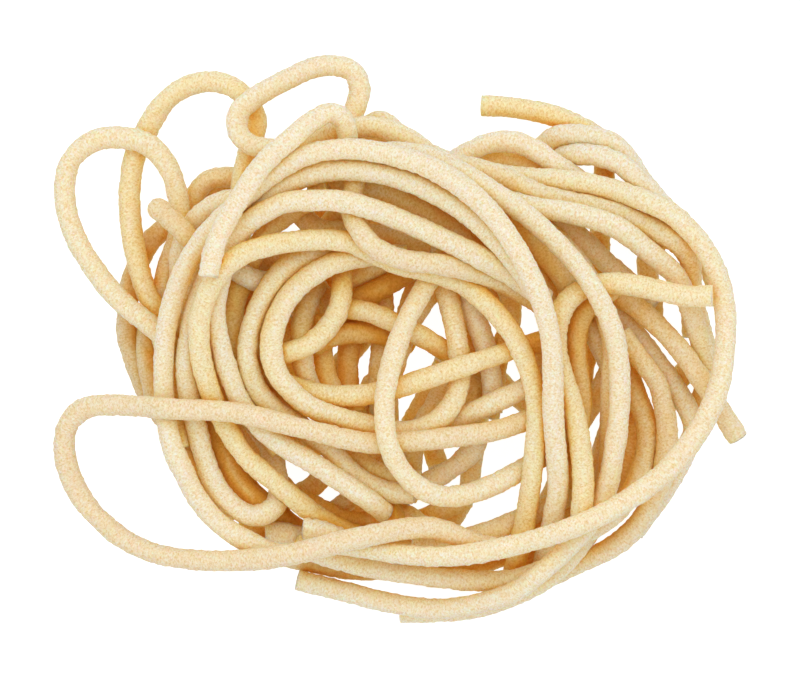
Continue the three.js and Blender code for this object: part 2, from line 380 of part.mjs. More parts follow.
function geometryOf(solid) {
  const { vertProperties, triVerts } = solid.getMesh();
  const geometry = new THREE.BufferGeometry();
  geometry.setAttribute("position", new THREE.BufferAttribute(vertProperties, 3));
  geometry.setIndex(new THREE.BufferAttribute(triVerts, 1));
  geometry.computeVertexNormals();
  return geometry;
}

// What lies below the floor, cut away so that the nest rests flat.
function belowFloor() {
  const size = 200;
  const block = new THREE.BoxGeometry(size, size, size);
  block.translate(0, 0, -size / 2);
  return solidOf(block);
}

// Everything fused into one solid: sealed hollows and loose scraps fall away with the lesser bodies.
function fuse(geometries) {
  const joined = geometries.map(solidOf).reduce((sum, solid) => sum.add(solid));
  const bodies = joined.subtract(belowFloor()).asOriginal().simplify(SLIVER).decompose();
  return bodies.reduce((best, body) => (body.volume() > best.volume() ? body : best));
}

const loops = Object.values(LOOPS).map(nodesAlong);
const upper = Object.values({ ...TOP, ...MIDDLE }).map(nodesAlong);
const low = Object.values({ ...LOW, ...UNDER }).map(nodesAlong);
settle([...loops, ...upper, ...low]);

const tubes = [
  ...Object.values(CORE).map((run) => tubeGeometry(coreNodes(run), CORE_RADIUS, LOW_SIDES, CORE_STEP)),
  ...loops.map((nodes) => tubeGeometry(nodes, STRAND_RADIUS, TUBE_SIDES, LOOP_STEP)),
  ...upper.map((nodes) => tubeGeometry(nodes, STRAND_RADIUS, TUBE_SIDES, TUBE_STEP)),
  ...low.map((nodes) => tubeGeometry(nodes, STRAND_RADIUS, LOW_SIDES, LOW_STEP)),
];
const geometry = geometryOf(fuse(tubes));
geometry.computeBoundingBox();
const middle = geometry.boundingBox.getCenter(new THREE.Vector3());
geometry.translate(-middle.x, -middle.y, 0);

const pasta = new THREE.MeshStandardMaterial({ color: PASTA_COLOUR, roughness: 0.75, metalness: 0 });
const nest = new THREE.Mesh(geometry, pasta);
nest.name = "pici_bundle";

const bundle = new THREE.Group();
bundle.add(nest);
export default bundle;
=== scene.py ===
"""Bundle of dry pici: a loose nest of thick hand-rolled pasta strands, seen from straight above.

Lengths are millimetres up to the meshes, which are metres. Each strand follows waypoints taken from
above, settles in height on the strands that it crosses, and becomes a closed, slightly rough tube.
"""
import math

import bpy
import numpy as np
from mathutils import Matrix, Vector
from mathutils.bvhtree import BVHTree


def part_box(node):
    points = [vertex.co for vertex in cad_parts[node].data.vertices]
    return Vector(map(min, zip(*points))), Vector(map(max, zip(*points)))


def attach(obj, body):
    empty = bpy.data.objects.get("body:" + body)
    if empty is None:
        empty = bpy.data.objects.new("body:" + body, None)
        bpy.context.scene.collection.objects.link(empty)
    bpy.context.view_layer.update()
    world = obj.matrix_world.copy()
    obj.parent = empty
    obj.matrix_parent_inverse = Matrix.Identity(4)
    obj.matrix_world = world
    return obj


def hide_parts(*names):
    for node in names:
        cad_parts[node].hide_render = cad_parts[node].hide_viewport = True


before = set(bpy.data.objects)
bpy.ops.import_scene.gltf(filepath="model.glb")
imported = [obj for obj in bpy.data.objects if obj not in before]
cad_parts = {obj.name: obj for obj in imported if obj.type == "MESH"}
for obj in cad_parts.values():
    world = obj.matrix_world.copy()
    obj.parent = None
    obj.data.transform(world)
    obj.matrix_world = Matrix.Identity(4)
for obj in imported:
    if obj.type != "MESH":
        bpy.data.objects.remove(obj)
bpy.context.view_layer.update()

MM = 0.001
SEED = 41

# The strand
DIAMETER = 3.3
RADIUS = DIAMETER / 2
STOREY = 0.86 * DIAMETER  # rise from one layer of strands to the next
SPAN_POINTS = 24  # points of a curve from one waypoint to the next
FINE_SPAN_POINTS = 8  # the same where the given points lie close together

# How the strands settle on each other
NODE_STEP = 1.0
LEAST_NODES = 4  # on the shortest strand
SETTLE_ROUNDS = 900
FIRM_ROUNDS = 180  # the last rounds, with little smoothing
BEND_REACH = 9  # nodes on each side that a stiff strand averages over
BEND_SHARE = 0.25
FIRM_BEND_SHARE = 0.06
LAST_BEND_REACH = 3  # nodes on each side that the last smoothing averages over
TARGET_SHARE = 0.03
PUSH_SHARE = 1.6
SELF_SKIP = 8  # nodes along one strand that can't press on each other
SAME_OVERLAP = 3  # a gap of more nodes than this parts two overlaps of the same strands

# The tube's mesh
RING_STEP = 0.3
SIDES = 24
HIDDEN_RING_STEP = 0.6

# Hand-rolled unevenness, as shares of the radius, and the length over which it changes
SLOW_SWELL = 0.028
SLOW_LENGTH = 14
QUICK_SWELL = 0.006
QUICK_LENGTH = 3.5
LEAST_KNOTS = 4  # random values along the shortest strand
OVALITY = 0.03
OVAL_LENGTH = 20
OVAL_TURN = 2  # radians that the oval wanders to either side
GRAIN_RELIEF = 0.045  # millimetres
GRAIN_CARRY = 0.6  # share of one ring's relief that the next ring repeats
GRAIN_RANGE = 500  # millimetres of grain that each strand's own stretch is taken from
CUT_SLANT = 0.16  # rise of a cut end's plane at its rim, as a share of the radius
LEAST_SLANT = 0.2  # share of that rise at the straightest cut
CUT_RELIEF = 0.07  # millimetres
CUT_RINGS = ((0.99, 0.0), (0.94, 0.06), (0.62, 0.09), (0.3, 0.09))  # share of the radius, millimetres out
ROUND_TURNS = (15, 32, 50, 70)  # degrees from the rim of a rounded end
ROUND_RINGS = tuple((math.cos(math.radians(a)), RADIUS * math.sin(math.radians(a))) for a in ROUND_TURNS)
ROUND_ENDED = ("stub_left",)

# How far each place on a strand is closed in by other strands, which sets how much shade is painted on it
SHELTER_SKIP = 3  # rings and sides from one tested place to the next
SHELTER_RAYS = 18
SHELTER_REACH = 12
SHELTER_LIFT = 0.15

# Painted shade: what the dough's colour is multiplied by, from open to the light (paler and cooler) to
# wholly closed in (darker and golden-orange, as crevices in shade)
PAINTED_SHADE_STOPS = (-0.1, 0.2, 0.55, 0.8, 1.0)
PAINTED_SHADE_TINTS = ((1.0, 1.02, 1.16), (1.0, 1.0, 1.0), (1.01, 0.94, 0.75), (1.02, 0.82, 0.4), (1.0, 0.63, 0.14))

# Strands of another tone and painted shade: how far their painted shade is shifted, and how bright they
# are; partly their own tone, partly painted shadow that darkens low strands lying under the nest
TONE_SPREAD = 0.05
TONES_AND_SHADES = (
    (-0.25, 1.0, ("crown_1", "crown_2", "crown_3", "right_3", "right_5", "well_1", "well_3", "chunk",
        "end_low")),
    (-0.1, 1.0, ("sweep_1", "sweep_2", "sweep_3", "short_top", "fall_2", "right_2", "back_2", "stub_low")),
    (0.2, 1.0, ("loop_upper", "sweep_4", "crook", "cross", "inner_1", "inner_3", "inner_6")),
    (0.3, 1.0, ("free_end",)),
    (0.08, 0.93, ("loop_low", "right_1", "right_4", "right_6", "right_7", "back_1", "dip")),
    (0.25, 0.88, ("stub_left", "inner_4", "crook_low", "low_3")),
    (0.2, 0.82, ("dark_left_1", "dark_left_2", "dark_low")),
    (0.4, 0.85, ("inner_5", "inner_8", "under_3", "under_19")),
)

# The view: the picture is 800 pixels wide, at 6.5 pixels to the millimetre
PICTURE_WIDTH = 800
PICTURE_HEIGHT = 683
PIXELS_PER_MM = 6.5
TRACE_ORIGIN = (400, 340)  # the pixel at the waypoints' origin
CAMERA_HEIGHT = 4000
FOCUS_HEIGHT = 12  # where the picture's scale holds
SENSOR = 36

# The dough: matt and a little see-through, with a fine grain
ROUGHNESS = 0.65
SPECULAR_LEVEL = 0.25
SEE_THROUGH = 0.85
SEE_THROUGH_REACH = (1.0, 0.65, 0.3)  # of red, green and blue, as shares of the depth
SEE_THROUGH_DEPTH = 3.6
GRAIN_STRETCH = (1, 1, 1.4)  # finer along the strand, which is z, than round it
GRAIN_SCALE = 2.7
GRAIN_DETAIL = 2.0
GRAIN_ROUGHNESS = 0.6
GRAIN_WARP = 0.6
GRAIN_COLOURS = ((0.32, (0.82, 0.6, 0.28)), (0.5, (0.935, 0.768, 0.51)), (0.68, (0.99, 0.892, 0.71)))
GRAIN_BUMP = 0.4
GRAIN_DEPTH = 0.08

# The floor and the light
FLOOR_SIDE = 6000
FLOOR_COLOUR = (0.4, 0.4, 0.4, 1)
FLOOR_ROUGHNESS = 0.9
FLOOR_GLOW_COLOUR = (1, 1, 1, 1)
FLOOR_GLOW = 0.9
KEY_PLACE = (0, 350, 750)
KEY_SIZE = 550
KEY_WATTS = 1.1
SURROUND_STRENGTH = 0.88
SURROUND_COLOUR = (1.0, 1.0, 1.0)
GROUND_COLOUR = (0.8, 0.78, 0.74)
GROUND_FADE = (-0.3, -0.1)  # heights on a unit sphere between which the ground's colour fades out

# Each strand from above, as (x, y, storey): the storey says what lies over what

# The open loops that stand out at the left and top
LOOPS = {
    "loop_left": [(-34, -3, 2), (-36.5, 0.5, 2.3), (-43.5, 6.5, 2), (-47.5, 11.5, 1.4), (-50.5, 17, 0.8),
        (-51.7, 22.5, 0.5), (-50.8, 27.5, 0.6), (-47.5, 30.5, 0.9), (-43.5, 31.2, 1.4), (-39, 30.2, 1.9),
        (-35.9, 27, 2.4), (-34.4, 23, 2.3), (-33.8, 19.8, 1.7), (-33.5, 17.9, 1.4)],
    "loop_upper": [(-36.2, -1.5, 1.2), (-37.5, 4, 1.4), (-39.5, 8.5, 1.2), (-41.5, 18, 0.6),
        (-41.5, 25, 0.3), (-40.3, 29.8, 0.3), (-36.1, 36.8, 0.5), (-32.5, 39.2, 0.8), (-28.9, 39.8, 1.2),
        (-25.7, 38.9, 1.8), (-23.4, 36.7, 2.4), (-22.2, 33.7, 2.9), (-22.7, 30.9, 3.2), (-23.6, 28, 3.4),
        (-24.2, 25.2, 3.5), (-24.6, 22, 3.5)],
    "loop_crown": [(-13, 27, 4.8), (-19, 29.2, 4.8), (-23.3, 30.2, 4.5), (-25, 32.3, 4.2),
        (-24.7, 35.1, 3.8), (-22.5, 37.2, 3.3), (-17.8, 39.9, 2.2), (-13.3, 41.9, 1.5),
        (-9.9, 42.2, 1.4), (-7.3, 41.3, 1.6), (-6.2, 38.7, 2), (-6.8, 36, 2.5), (-8, 33, 3),
        (-9.5, 29.5, 3.2)],
    "loop_low": [(22, -11.4, 3.2), (15.2, -13.8, 3.8), (10, -14.7, 4.4), (0, -15.7, 5), (-5, -15.8, 5.4),
        (-15, -13.6, 5.8), (-25, -11.2, 5.8), (-35, -10.6, 4.8), (-40, -10.2, 3.6), (-45, -10, 2.3),
        (-48.5, -10.5, 1.5), (-51, -12.8, 0.9), (-51.7, -16, 0.5), (-51.1, -20, 0.4),
        (-49.2, -24.1, 0.5), (-46.3, -27.6, 0.8), (-42.3, -30.8, 1.4), (-37.6, -32.9, 2.2),
        (-33, -33.7, 3), (-28, -34, 3.7), (-18, -33.2, 4.7), (-8, -30.8, 5.2), (1, -29, 5.2),
        (5, -28.9, 5.1), (8.5, -30, 4.8), (12, -31.5, 4.3), (15.5, -32.3, 3.8)],
}

# The uppermost strands, down to the rim at the right
TOP = {
    "short_top": [(-29.4, 9.8, 7.2), (-28.8, 13, 7.2), (-27.3, 17, 7.2), (-21, 27, 7.2),
        (-16.6, 31, 6.8), (-13.2, 33.8, 6.2), (-10.6, 34.9, 5.6), (-8.7, 33.8, 5.2), (-8, 31, 4.8)],
    "sweep_1": [(-17.6, -33.1, 2), (-20, -32.6, 2), (-27, -28.8, 2.2), (-30.7, -25, 2.4),
        (-33.4, -20, 2.7), (-35.4, -15, 3), (-36.4, -5, 3.3), (-35.2, 5, 3.7), (-31.5, 14, 4.6),
        (-26, 20, 5.6), (-19, 26, 6.4), (-14, 28.5, 6.6), (-9, 29.3, 6.6), (-4, 29, 6.6), (5, 26.3, 6.6),
        (13, 20.5, 6.6), (19.5, 11, 6.6), (23, 1, 6.4), (23.6, -12, 6), (24.3, -23, 4.9),
        (23.6, -27, 3.8), (22.9, -30.5, 2.4), (22.3, -33.3, 1.2), (21.8, -35.4, 0.5)],
    "sweep_2": [(-24.5, -11, 2.6), (-21.4, -14.2, 2.4), (-19.5, -18, 2.1), (-18.9, -21, 1.9),
        (-18.6, -23.4, 1.9), (-19.1, -25.3, 2), (-20.6, -26.6, 2.2), (-23, -27, 2.4), (-26.2, -25, 2.8),
        (-28.8, -21.5, 3.2), (-31.5, -12.5, 3.8), (-32.9, -5, 4), (-31.5, 5, 4.1), (-28, 12.5, 3.7),
        (-24, 19, 4.2), (-20, 22.3, 5.4), (-16, 24.5, 5.7), (-10, 26, 5.8), (0, 24.8, 5.8),
        (10, 19.6, 5.8), (17.5, 12, 5.4), (21, 7, 4.9)],
    "sweep_3": [(-2.3, -26.6, 4), (-4, -25.2, 4), (-12, -19.8, 4.4), (-21, -14, 4.6), (-25, -8.5, 4.6),
        (-27.8, 0, 4.6), (-28.5, 5, 4.6), (-26.6, 12.5, 5.2), (-24.5, 16.8, 5.6), (-18.5, 20.8, 5.6),
        (-14, 21.4, 5.6), (-9, 21.3, 5.8), (-4, 20, 5.8), (6, 15.8, 5.8), (16, 10.6, 5.2),
        (22.5, 6.2, 4.2)],
    "sweep_4": [(17.3, -37, 0.2), (17.8, -34.5, 1), (18.4, -31.8, 2.3), (19.1, -28.5, 3.6),
        (20.5, -19, 4.8), (20.9, -9, 5), (17.5, 0.5, 5.1), (11.5, 7.3, 5), (8, 9.3, 4.8), (4, 10.6, 4.4),
        (0.5, 11.4, 4.2), (-3, 12.8, 4.6), (-7, 14.8, 5), (-11, 15.4, 5.2), (-16, 15.2, 5.4),
        (-21, 14.3, 5.8), (-24.5, 13, 6.3), (-27.5, 10.5, 6.2), (-30, 6, 5.6), (-30.9, 1, 5.1),
        (-29.5, -7, 4.8), (-24.5, -17, 4.2), (-19.2, -21.9, 3.5), (-16.1, -24.5, 3), (-12, -27.6, 2.5),
        (-8.5, -29.4, 2.2), (-5, -30.6, 2)],
    "rim": [(-20, 25.5, 3), (-16, 28.6, 3.4), (-12, 31, 3.8), (-8.5, 32.3, 4.2), (-4.5, 32.8, 4.6),
        (-0.9, 31.9, 4.6), (1.9, 30.6, 4.4), (4.2, 28.9, 3.7), (8, 27.2, 3.1), (13, 25.8, 3),
        (19, 25, 3), (25, 24.6, 3.4), (31, 23.6, 4.1), (40.7, 20.1, 4.2), (43.7, 17.7, 4.1),
        (46.2, 15, 4), (48.2, 11.6, 4), (49.5, 7.8, 4), (50.1, 2, 4), (48.6, -8.5, 4.2),
        (42.5, -18.5, 4.7), (34, -25.2, 5.3), (24, -29.7, 5.6), (12, -32.7, 5.4), (6, -33.3, 5.1),
        (1, -33, 4.7), (-6.5, -31.8, 3.9), (-9.5, -31.4, 3.4)],
    "hook": [(6.5, 14, 3.4), (4.8, 10, 4), (0.8, 2.5, 5.4), (-1.9, -6, 6), (-2.4, -11, 6.2),
        (-1.8, -16, 6.1), (0.6, -20.5, 5.8), (3.5, -23, 5.4), (6.5, -24, 5), (10, -23.8, 4.6),
        (14, -22.4, 4.1), (18.7, -20, 3.5), (22.5, -17.5, 3)],
    "fall_2": [(-15.8, -37, 1), (-8, -38.9, 1), (-3, -40.2, 1.2), (2, -41.1, 1.4), (7, -41.4, 1.6),
        (17, -39, 2), (21, -36.3, 2.3), (28, -29.5, 2.9), (31.2, -24.5, 3.7), (32.8, -18, 4.5),
        (33.8, -8, 5), (32.7, 1.5, 5.4), (28, 10.5, 5.5), (20, 18.7, 5.5), (14.2, 22.8, 5.5),
        (10.1, 25.4, 5.4), (7.4, 26.9, 5.3), (4, 28.2, 5.2), (0, 28.8, 5), (-4, 28.6, 4.8)],
    "crook": [(48, 6.8, 4.2), (44.5, 6.7, 4.2), (35.5, 8.5, 4.3), (32, 8.7, 4.4), (28.5, 8, 4.6),
        (25.6, 5.8, 4.8), (24.2, 2.6, 4.8), (24, -1.2, 4.8), (24.9, -5.2, 4.8), (26.8, -11, 4.7),
        (28.2, -22, 4.4), (27.8, -27.2, 4.2)],
}

# The bowl inside, the arches at the top and the fan at the right
MIDDLE = {
    "dip": [(-6, 27.5, 4), (-7.2, 23, 4.8), (-7.4, 19.5, 5.2), (-6, 16.5, 5.4), (-3.5, 14, 5.5),
        (0, 12.5, 5.5), (8, 11.3, 5.2), (14, 9.6, 4.2), (20, 6.5, 3.2), (24, 3.6, 2.8)],
    "bowl_1": [(-8, 14, 4), (-12, 13.6, 4.2), (-17, 11.5, 4.4), (-20.3, 8, 4.4), (-22.3, 4, 4.4),
        (-23.4, 0, 4.4), (-23.4, -3.5, 4.4), (-22, -7.5, 4.4), (-19.5, -10.5, 4.2), (-11, -16.5, 3.6),
        (-7.9, -20.1, 3.2), (-4.4, -22.5, 3), (-0.9, -23.5, 2.8), (2.4, -23.6, 2.4)],
    "bowl_2": [(1, 13, 3.8), (-4, 13, 4.2), (-9.5, 12, 4.5), (-13.5, 10, 4.7), (-17, 6.8, 4.8),
        (-19, 3, 4.8), (-19.8, -1, 4.8), (-19, -4.8, 4.8), (-16.5, -8.1, 4.8), (-13.1, -10.6, 4.7),
        (-4.5, -13.2, 4.3), (0, -14.2, 4.1), (4, -13.4, 4), (7, -11.2, 3.9), (8.8, -8, 3.8),
        (9.2, -4, 3.8), (8, 4, 3.8), (6.5, 9.5, 3.5)],
    "cross": [(-21, -4.6, 3.1), (-18.8, -6, 3.3), (-15.8, -7.4, 3.6), (-12, -8.4, 4.1),
        (-7.5, -8.6, 4.6), (-3, -8, 4.8), (8, -4.6, 4.8), (18.5, -1.2, 4), (22.5, 0, 3.4)],
    "stub_left": [(-30.2, 13.7, 3.2), (-33, 16.4, 3.8), (-35.3, 18.6, 3.9), (-37.2, 20.2, 3.4)],
    "back_1": [(-17, 22.5, 2.2), (-23, 24.6, 2.4), (-26.3, 25.1, 2.5), (-29.6, 24.6, 2.4),
        (-31.9, 21.7, 1.3), (-33.3, 18.5, 0.4), (-34.7, 14.5, 0.3), (-36.3, 9.5, 0.3), (-37, 4, 0.4)],
    "back_2": [(-33.9, 9.5, 1.8), (-33.9, 13, 2), (-32.7, 16.6, 2.4), (-30.1, 19.7, 3),
        (-27.5, 21.2, 3.6), (-25, 21.5, 3.8), (-20, 20.3, 3.8)],
    "crown_1": [(21.2, 28.8, 2.1), (22.4, 30.2, 2.2), (24.8, 31.5, 2.3), (28.5, 31.5, 2.4),
        (31, 31, 2.3), (33, 30.1, 2.1), (34.9, 28.2, 1.8), (37.2, 24.8, 1.5), (40.5, 20.5, 1.3),
        (44, 16.6, 1.2), (47, 12.8, 1.1), (49, 8, 1)],
    "crown_2": [(23.2, 27, 1.7), (26, 28.4, 1.9), (29.5, 28.5, 2.1), (33.5, 27.3, 2.3), (36, 25.4, 2.4),
        (38.1, 23.3, 2.4), (40.8, 20.2, 2.2), (43.5, 16.8, 2)],
    "crown_3": [(6, 25, 1.6), (8.5, 27.5, 1.8), (10.9, 29.1, 2.2), (13.7, 30.3, 2.6), (17.6, 30.5, 3),
        (20.9, 29.2, 3.2), (24, 27, 3.1), (29, 23.8, 2.6)],
    "crown_4": [(7, 25, 1), (11, 27, 1.3), (15, 27.8, 2), (18.5, 27.2, 2.3), (25.5, 24.4, 2)],
    "right_1": [(7.6, 27.2, 3.9), (11, 26.5, 4.2), (16.2, 24.9, 4.2), (20.8, 22.6, 4), (24, 21.7, 3.7),
        (26.5, 21.2, 3.4), (30.5, 20.4, 3.1), (35.3, 18.8, 2.9), (39.6, 16.8, 2.7), (42.9, 14.8, 2.5),
        (44.6, 12.3, 2.2), (44.9, 9.5, 1.9), (45.3, 6, 1.6), (46.4, 1.5, 1.2), (47.8, -4, 0.9),
        (47.1, -7.5, 0.6), (45.6, -10.8, 0.3)],
    "right_2": [(16.5, 21.4, 4), (19, 20.8, 4.4), (22.1, 20.2, 4.9), (26.4, 19.5, 4.8), (32, 17.9, 4.2),
        (35.1, 16.2, 3.7), (37.4, 14.3, 3.2), (40.2, 12, 2.8), (42.5, 9.8, 2.5), (44.6, 5, 2.2),
        (47.1, -3, 1.8), (48.2, -7, 1.6)],
    "right_3": [(22.6, 19.4, 2.6), (24.5, 18.2, 2.6), (27.8, 15.8, 2.6), (30, 13.7, 2.5),
        (32.5, 11.3, 2.4), (34.6, 9.5, 2.3), (37, 7.4, 2), (39.3, 5.3, 1.6)],
    "crook_low": [(33, 8, 3), (31, 6.5, 3.2), (28.5, 4.5, 3.4), (27.3, 1, 3.5), (27.5, -4, 3.5),
        (28, -9, 3.4), (27.5, -14, 3.1), (26, -19, 2.6)],
    "right_4": [(31.5, 8, 2.6), (36.5, 5, 3), (42.5, -0.8, 2.8), (47.5, -7.8, 2.2), (52, -15, 1.4)],
    "right_5": [(33, 5.2, 1.6), (38.3, -1.8, 2), (43.3, -8.7, 1.4), (45.3, -13.5, 1), (44, -17.2, 0.7),
        (41.5, -21.9, 0.4), (38.6, -26.2, 0.1), (36, -29.5, 0)],
    "right_6": [(34, 1, 2.6), (37, -3, 2.6), (39.6, -6.5, 2.5), (40.4, -9.3, 2.3), (41.1, -13.4, 2),
        (41.1, -16.2, 1.8), (40.3, -21.5, 1.4), (38.6, -25.6, 1), (36.4, -28.7, 0.7), (33, -31.7, 0.4),
        (28, -34.2, 0.1), (23.5, -36.3, 0), (19, -38.2, 0)],
    "right_7": [(33, 1.5, 1.3), (35, -4, 1.6), (36.6, -9, 1.7), (38, -13, 1.8), (37.9, -17, 1.8),
        (36.3, -22, 1.8), (33, -26.6, 1.9), (27, -30.6, 1.9)],
    "low_2": [(-16, -31.5, 1.4), (-12, -33, 1.5), (-3, -35.3, 1.7), (9, -36.9, 1.6), (14, -37.1, 1.4),
        (18.5, -36.7, 1.2), (22.3, -35.3, 1)],
    "low_3": [(-18.3, -22.4, 1), (-16.2, -24.1, 1.2), (-12.5, -25.8, 1.4), (-8.4, -27.8, 1.4),
        (-4, -28, 1.5), (0, -26.8, 1.6)],
}

# The low strands, at the rim and at the bottom of the middle
LOW = {
    "dark_left_1": [(-35.8, 17.3, 0), (-37.1, 16.6, 0), (-38.6, 15.1, 0), (-40.2, 12.2, 0),
        (-41.5, 9, 0), (-42.1, 4, 0), (-41.9, 0, 0), (-40.3, -5, 0), (-38.4, -9, 0), (-35.6, -13, 0.2),
        (-32.5, -17.5, 0.4)],
    "dark_left_2": [(-37.6, 8, 0.3), (-38.6, 4, 0.4), (-39, -2, 0.6), (-37.9, -8, 0.8),
        (-35.4, -13.2, 0.9), (-32, -19, 1)],
    "inner_1": [(-9, 11.5, 3), (-9, 7, 2.9), (-9.8, 4, 2.8), (-11.5, 1.5, 2.7), (-14, -0.7, 2.6),
        (-17.6, -2, 2.9), (-20.6, -2.6, 3.2)],
    "inner_2": [(-12.9, 8.8, 1.9), (-15.2, 2, 1.8), (-15, -2.5, 1.8), (-14.3, -6, 1.8), (-12, -10, 1.8)],
    "inner_3": [(-11.7, 3.6, 0.9), (-12, 1, 0.9), (-11.8, -3, 0.9), (-11, -6.5, 0.9), (-9, -10, 0.9)],
    "inner_4": [(-7.2, 4, 0.2), (-7.6, 1, 0.2), (-8, -3, 0.2), (-8, -6.8, 0.2), (-7, -11, 0.2)],
    "inner_5": [(-13, -0.6, 1.3), (-10, 0.7, 1.3), (-6, 1.2, 1.3), (-2, 0.7, 1.3), (1.5, -0.5, 1.3)],
    "inner_6": [(-9.2, 5.1, 1.7), (-7.6, 4.8, 1.9), (-4.5, 4.2, 2.2), (2.5, 1, 2.6), (8, -2.3, 2.7),
        (11, -4, 2.6)],
    "inner_7": [(-9.8, 8.6, 1.3), (-5.5, 10.5, 1.5), (-2, 12.2, 1.6), (2, 14.5, 1.7)],
    "inner_8": [(-8.5, 5.2, 0.9), (-2, 8.4, 0.9), (3.4, 11.8, 0.9)],
    "chunk": [(-28, 12, 3.3), (-25.6, 10.9, 3.4), (-22.5, 9.3, 3.4), (-18.5, 8.6, 3.2)],
    "well_1": [(9, 11, 3), (11, 5, 3.4), (12.5, 1, 3.5), (13.6, -3, 3.3), (14.2, -7, 2.9),
        (14.2, -11, 2.6)],
    "well_2": [(4, -14, 2.4), (11, -11.2, 2.9), (19, -7.5, 3), (24, -5, 2.6)],
    "well_3": [(0.5, -24, 1.4), (5, -21.6, 1.7), (8.2, -19.6, 2), (10.6, -17.6, 2.3), (12, -15, 2.5),
        (12.2, -13.6, 2.5)],
    "well_4": [(12.2, -12, 0.6), (11.1, -19, 0.6), (10.5, -23, 0.6), (8.4, -27, 0.6), (4.5, -33, 0.6)],
    "low_1": [(2, -31.5, 1.5), (6, -31, 1.9), (10.5, -30.4, 2.3), (18, -27.8, 2.6), (26, -24, 2.2)],
    "end_low": [(-20.6, -29.6, 1.2), (-17, -29.9, 1.2), (-13, -30.9, 1)],
    "stub_low": [(-14.8, -29, 3.5), (-12.5, -29.3, 3.5), (-8.8, -30.7, 3.4), (-5, -31.8, 3.2)],
    "bump": [(-6.5, 30.5, 2), (-5, 32.9, 2.1), (-3.5, 33.8, 2.2), (-1.8, 33.1, 2.1), (0, 31, 2)],
    "free_end": [(12.6, 36.1, 0.2), (16, 36, 0.3), (24, 34.5, 0.7), (31, 31, 1), (34, 28.4, 0.9),
        (37.2, 24.4, 0.6), (40.5, 20, 0.3)],
    "dark_right_1": [(0.3, -41.9, 0), (6, -41.9, 0.1), (12, -41.2, 0.3), (18, -39.2, 0.8),
        (23, -36.4, 1.1), (26.3, -33.2, 1.2), (31.3, -26.5, 1), (33.3, -23, 0.9), (34.8, -19, 0.8),
        (36, -15, 0.7), (35.6, -9, 0.5)],
    "dark_right_2": [(26.6, -14.6, 1.9), (28.6, -11.6, 1.9), (31.7, -5.9, 1.9), (33.6, 0, 1.9)],
    "dark_low": [(-23, -31.5, 0.6), (-17.5, -33.4, 0.6), (-10, -35, 0.6), (-5.5, -35.4, 0.7),
        (-2, -35.1, 0.7), (3, -34.6, 0.8), (8, -34.3, 0.8), (13, -34.2, 0.6), (17, -32.8, 0.5)],
    "dark_mid": [(-20, -25.2, 0.8), (-16.5, -24.3, 1), (-13.4, -22.5, 1), (-11, -20, 1),
        (-8, -16.5, 1.2)],
    "inner_9": [(6.2, 9.4, 1.6), (1.2, 1.9, 1.6), (-1.6, -6.6, 1.6)],
    "inner_10": [(-2.7, 9, 0.6), (-2.6, 5, 0.6), (-2.8, 0, 0.6), (-3.2, -4, 0.6), (-3.2, -13, 0.6)],
    "inner_11": [(-17, 4, 0.5), (-17.2, 0, 0.5), (-16, -5, 0.5)],
    "inner_12": [(-13.5, 9, 0.3), (-11, 5.5, 0.3), (-10.3, 2, 0.3)],
    "inner_13": [(-10.8, -7.5, 0), (-9.6, -4.6, 0), (-7.9, -2.3, 0), (-5.9, 0.2, 0), (-3.2, 3.3, 0)],
    "inner_14": [(-8.5, -13, 0.2), (-6.2, -10.6, 0.2), (-4.3, -7, 0.2), (-2, -4.4, 0.2)],
    "inner_15": [(7, -3.5, 1), (4, -9, 1), (1.6, -13, 1)],
    "inner_16": [(8, -5, 1.6), (5.9, -9, 1.6), (3.5, -13, 1.6)],
    "well_5": [(3, -14, 1), (2, -17, 1.1), (1.7, -20, 1.1), (1.4, -24, 0.8)],
    "well_6": [(4.6, -15, 0.7), (5.3, -17.5, 0.6), (6, -19.6, 0.4)],
    "well_7": [(10.4, -24.4, 1.2), (7.2, -25.8, 1.2), (4, -27.4, 1), (0, -29.2, 0.8)],
    "well_8": [(-3.5, -24.6, 1.2), (0.4, -26.7, 1.3), (3.5, -28.6, 1)],
    "dark_right_3": [(33.8, -10, 1), (32, -14.5, 1), (30.8, -19, 1), (30, -24, 1)],
    "dark_right_4": [(45.2, -3.4, 0.6), (43.4, -5.5, 0.5), (41.3, -8.5, 0.5), (40.8, -11.5, 0.4)],
    "dark_mid_2": [(-11.5, -27.4, 0.8), (-8.4, -25, 1), (-6, -22.8, 1), (-3, -19.5, 1.2)],
    "bar_1": [(31.8, 29, 0.6), (31.5, 26, 0.5), (31.1, 20, 0.5), (30.8, 15, 0.5), (30.6, 10, 0.5)],
    "bar_2": [(39.6, 20.5, 0.6), (39.2, 17, 0.6), (38.1, 12.5, 0.6), (38.3, 9.5, 0.6), (38.9, 6, 0.5),
        (39, 3, 0.4)],
    "bar_3": [(26.2, 7, 2.4), (28.9, 3, 2.6), (30.9, -1, 2.6), (33, -6, 2.4)],
    "inner_17": [(8.6, 8, 1.6), (10.6, 3, 1.6), (11, -1, 1.6), (11.3, -6, 1.6), (11, -11, 1.5),
        (10, -15, 1.4)],
    "inner_18": [(15.5, 10, 1.6), (17, 6, 1.4), (16.8, 2, 1.2), (15, -3, 1), (14.4, -8, 0.9),
        (13.6, -12, 0.8)],
    "inner_19": [(3.2, 11, 0.8), (2.3, 7.6, 0.8), (0.9, 3.5, 0.8)],
    "bar_4": [(45, 8, 0.4), (45, 4, 0.4), (45.2, 0.6, 0.4)],
}

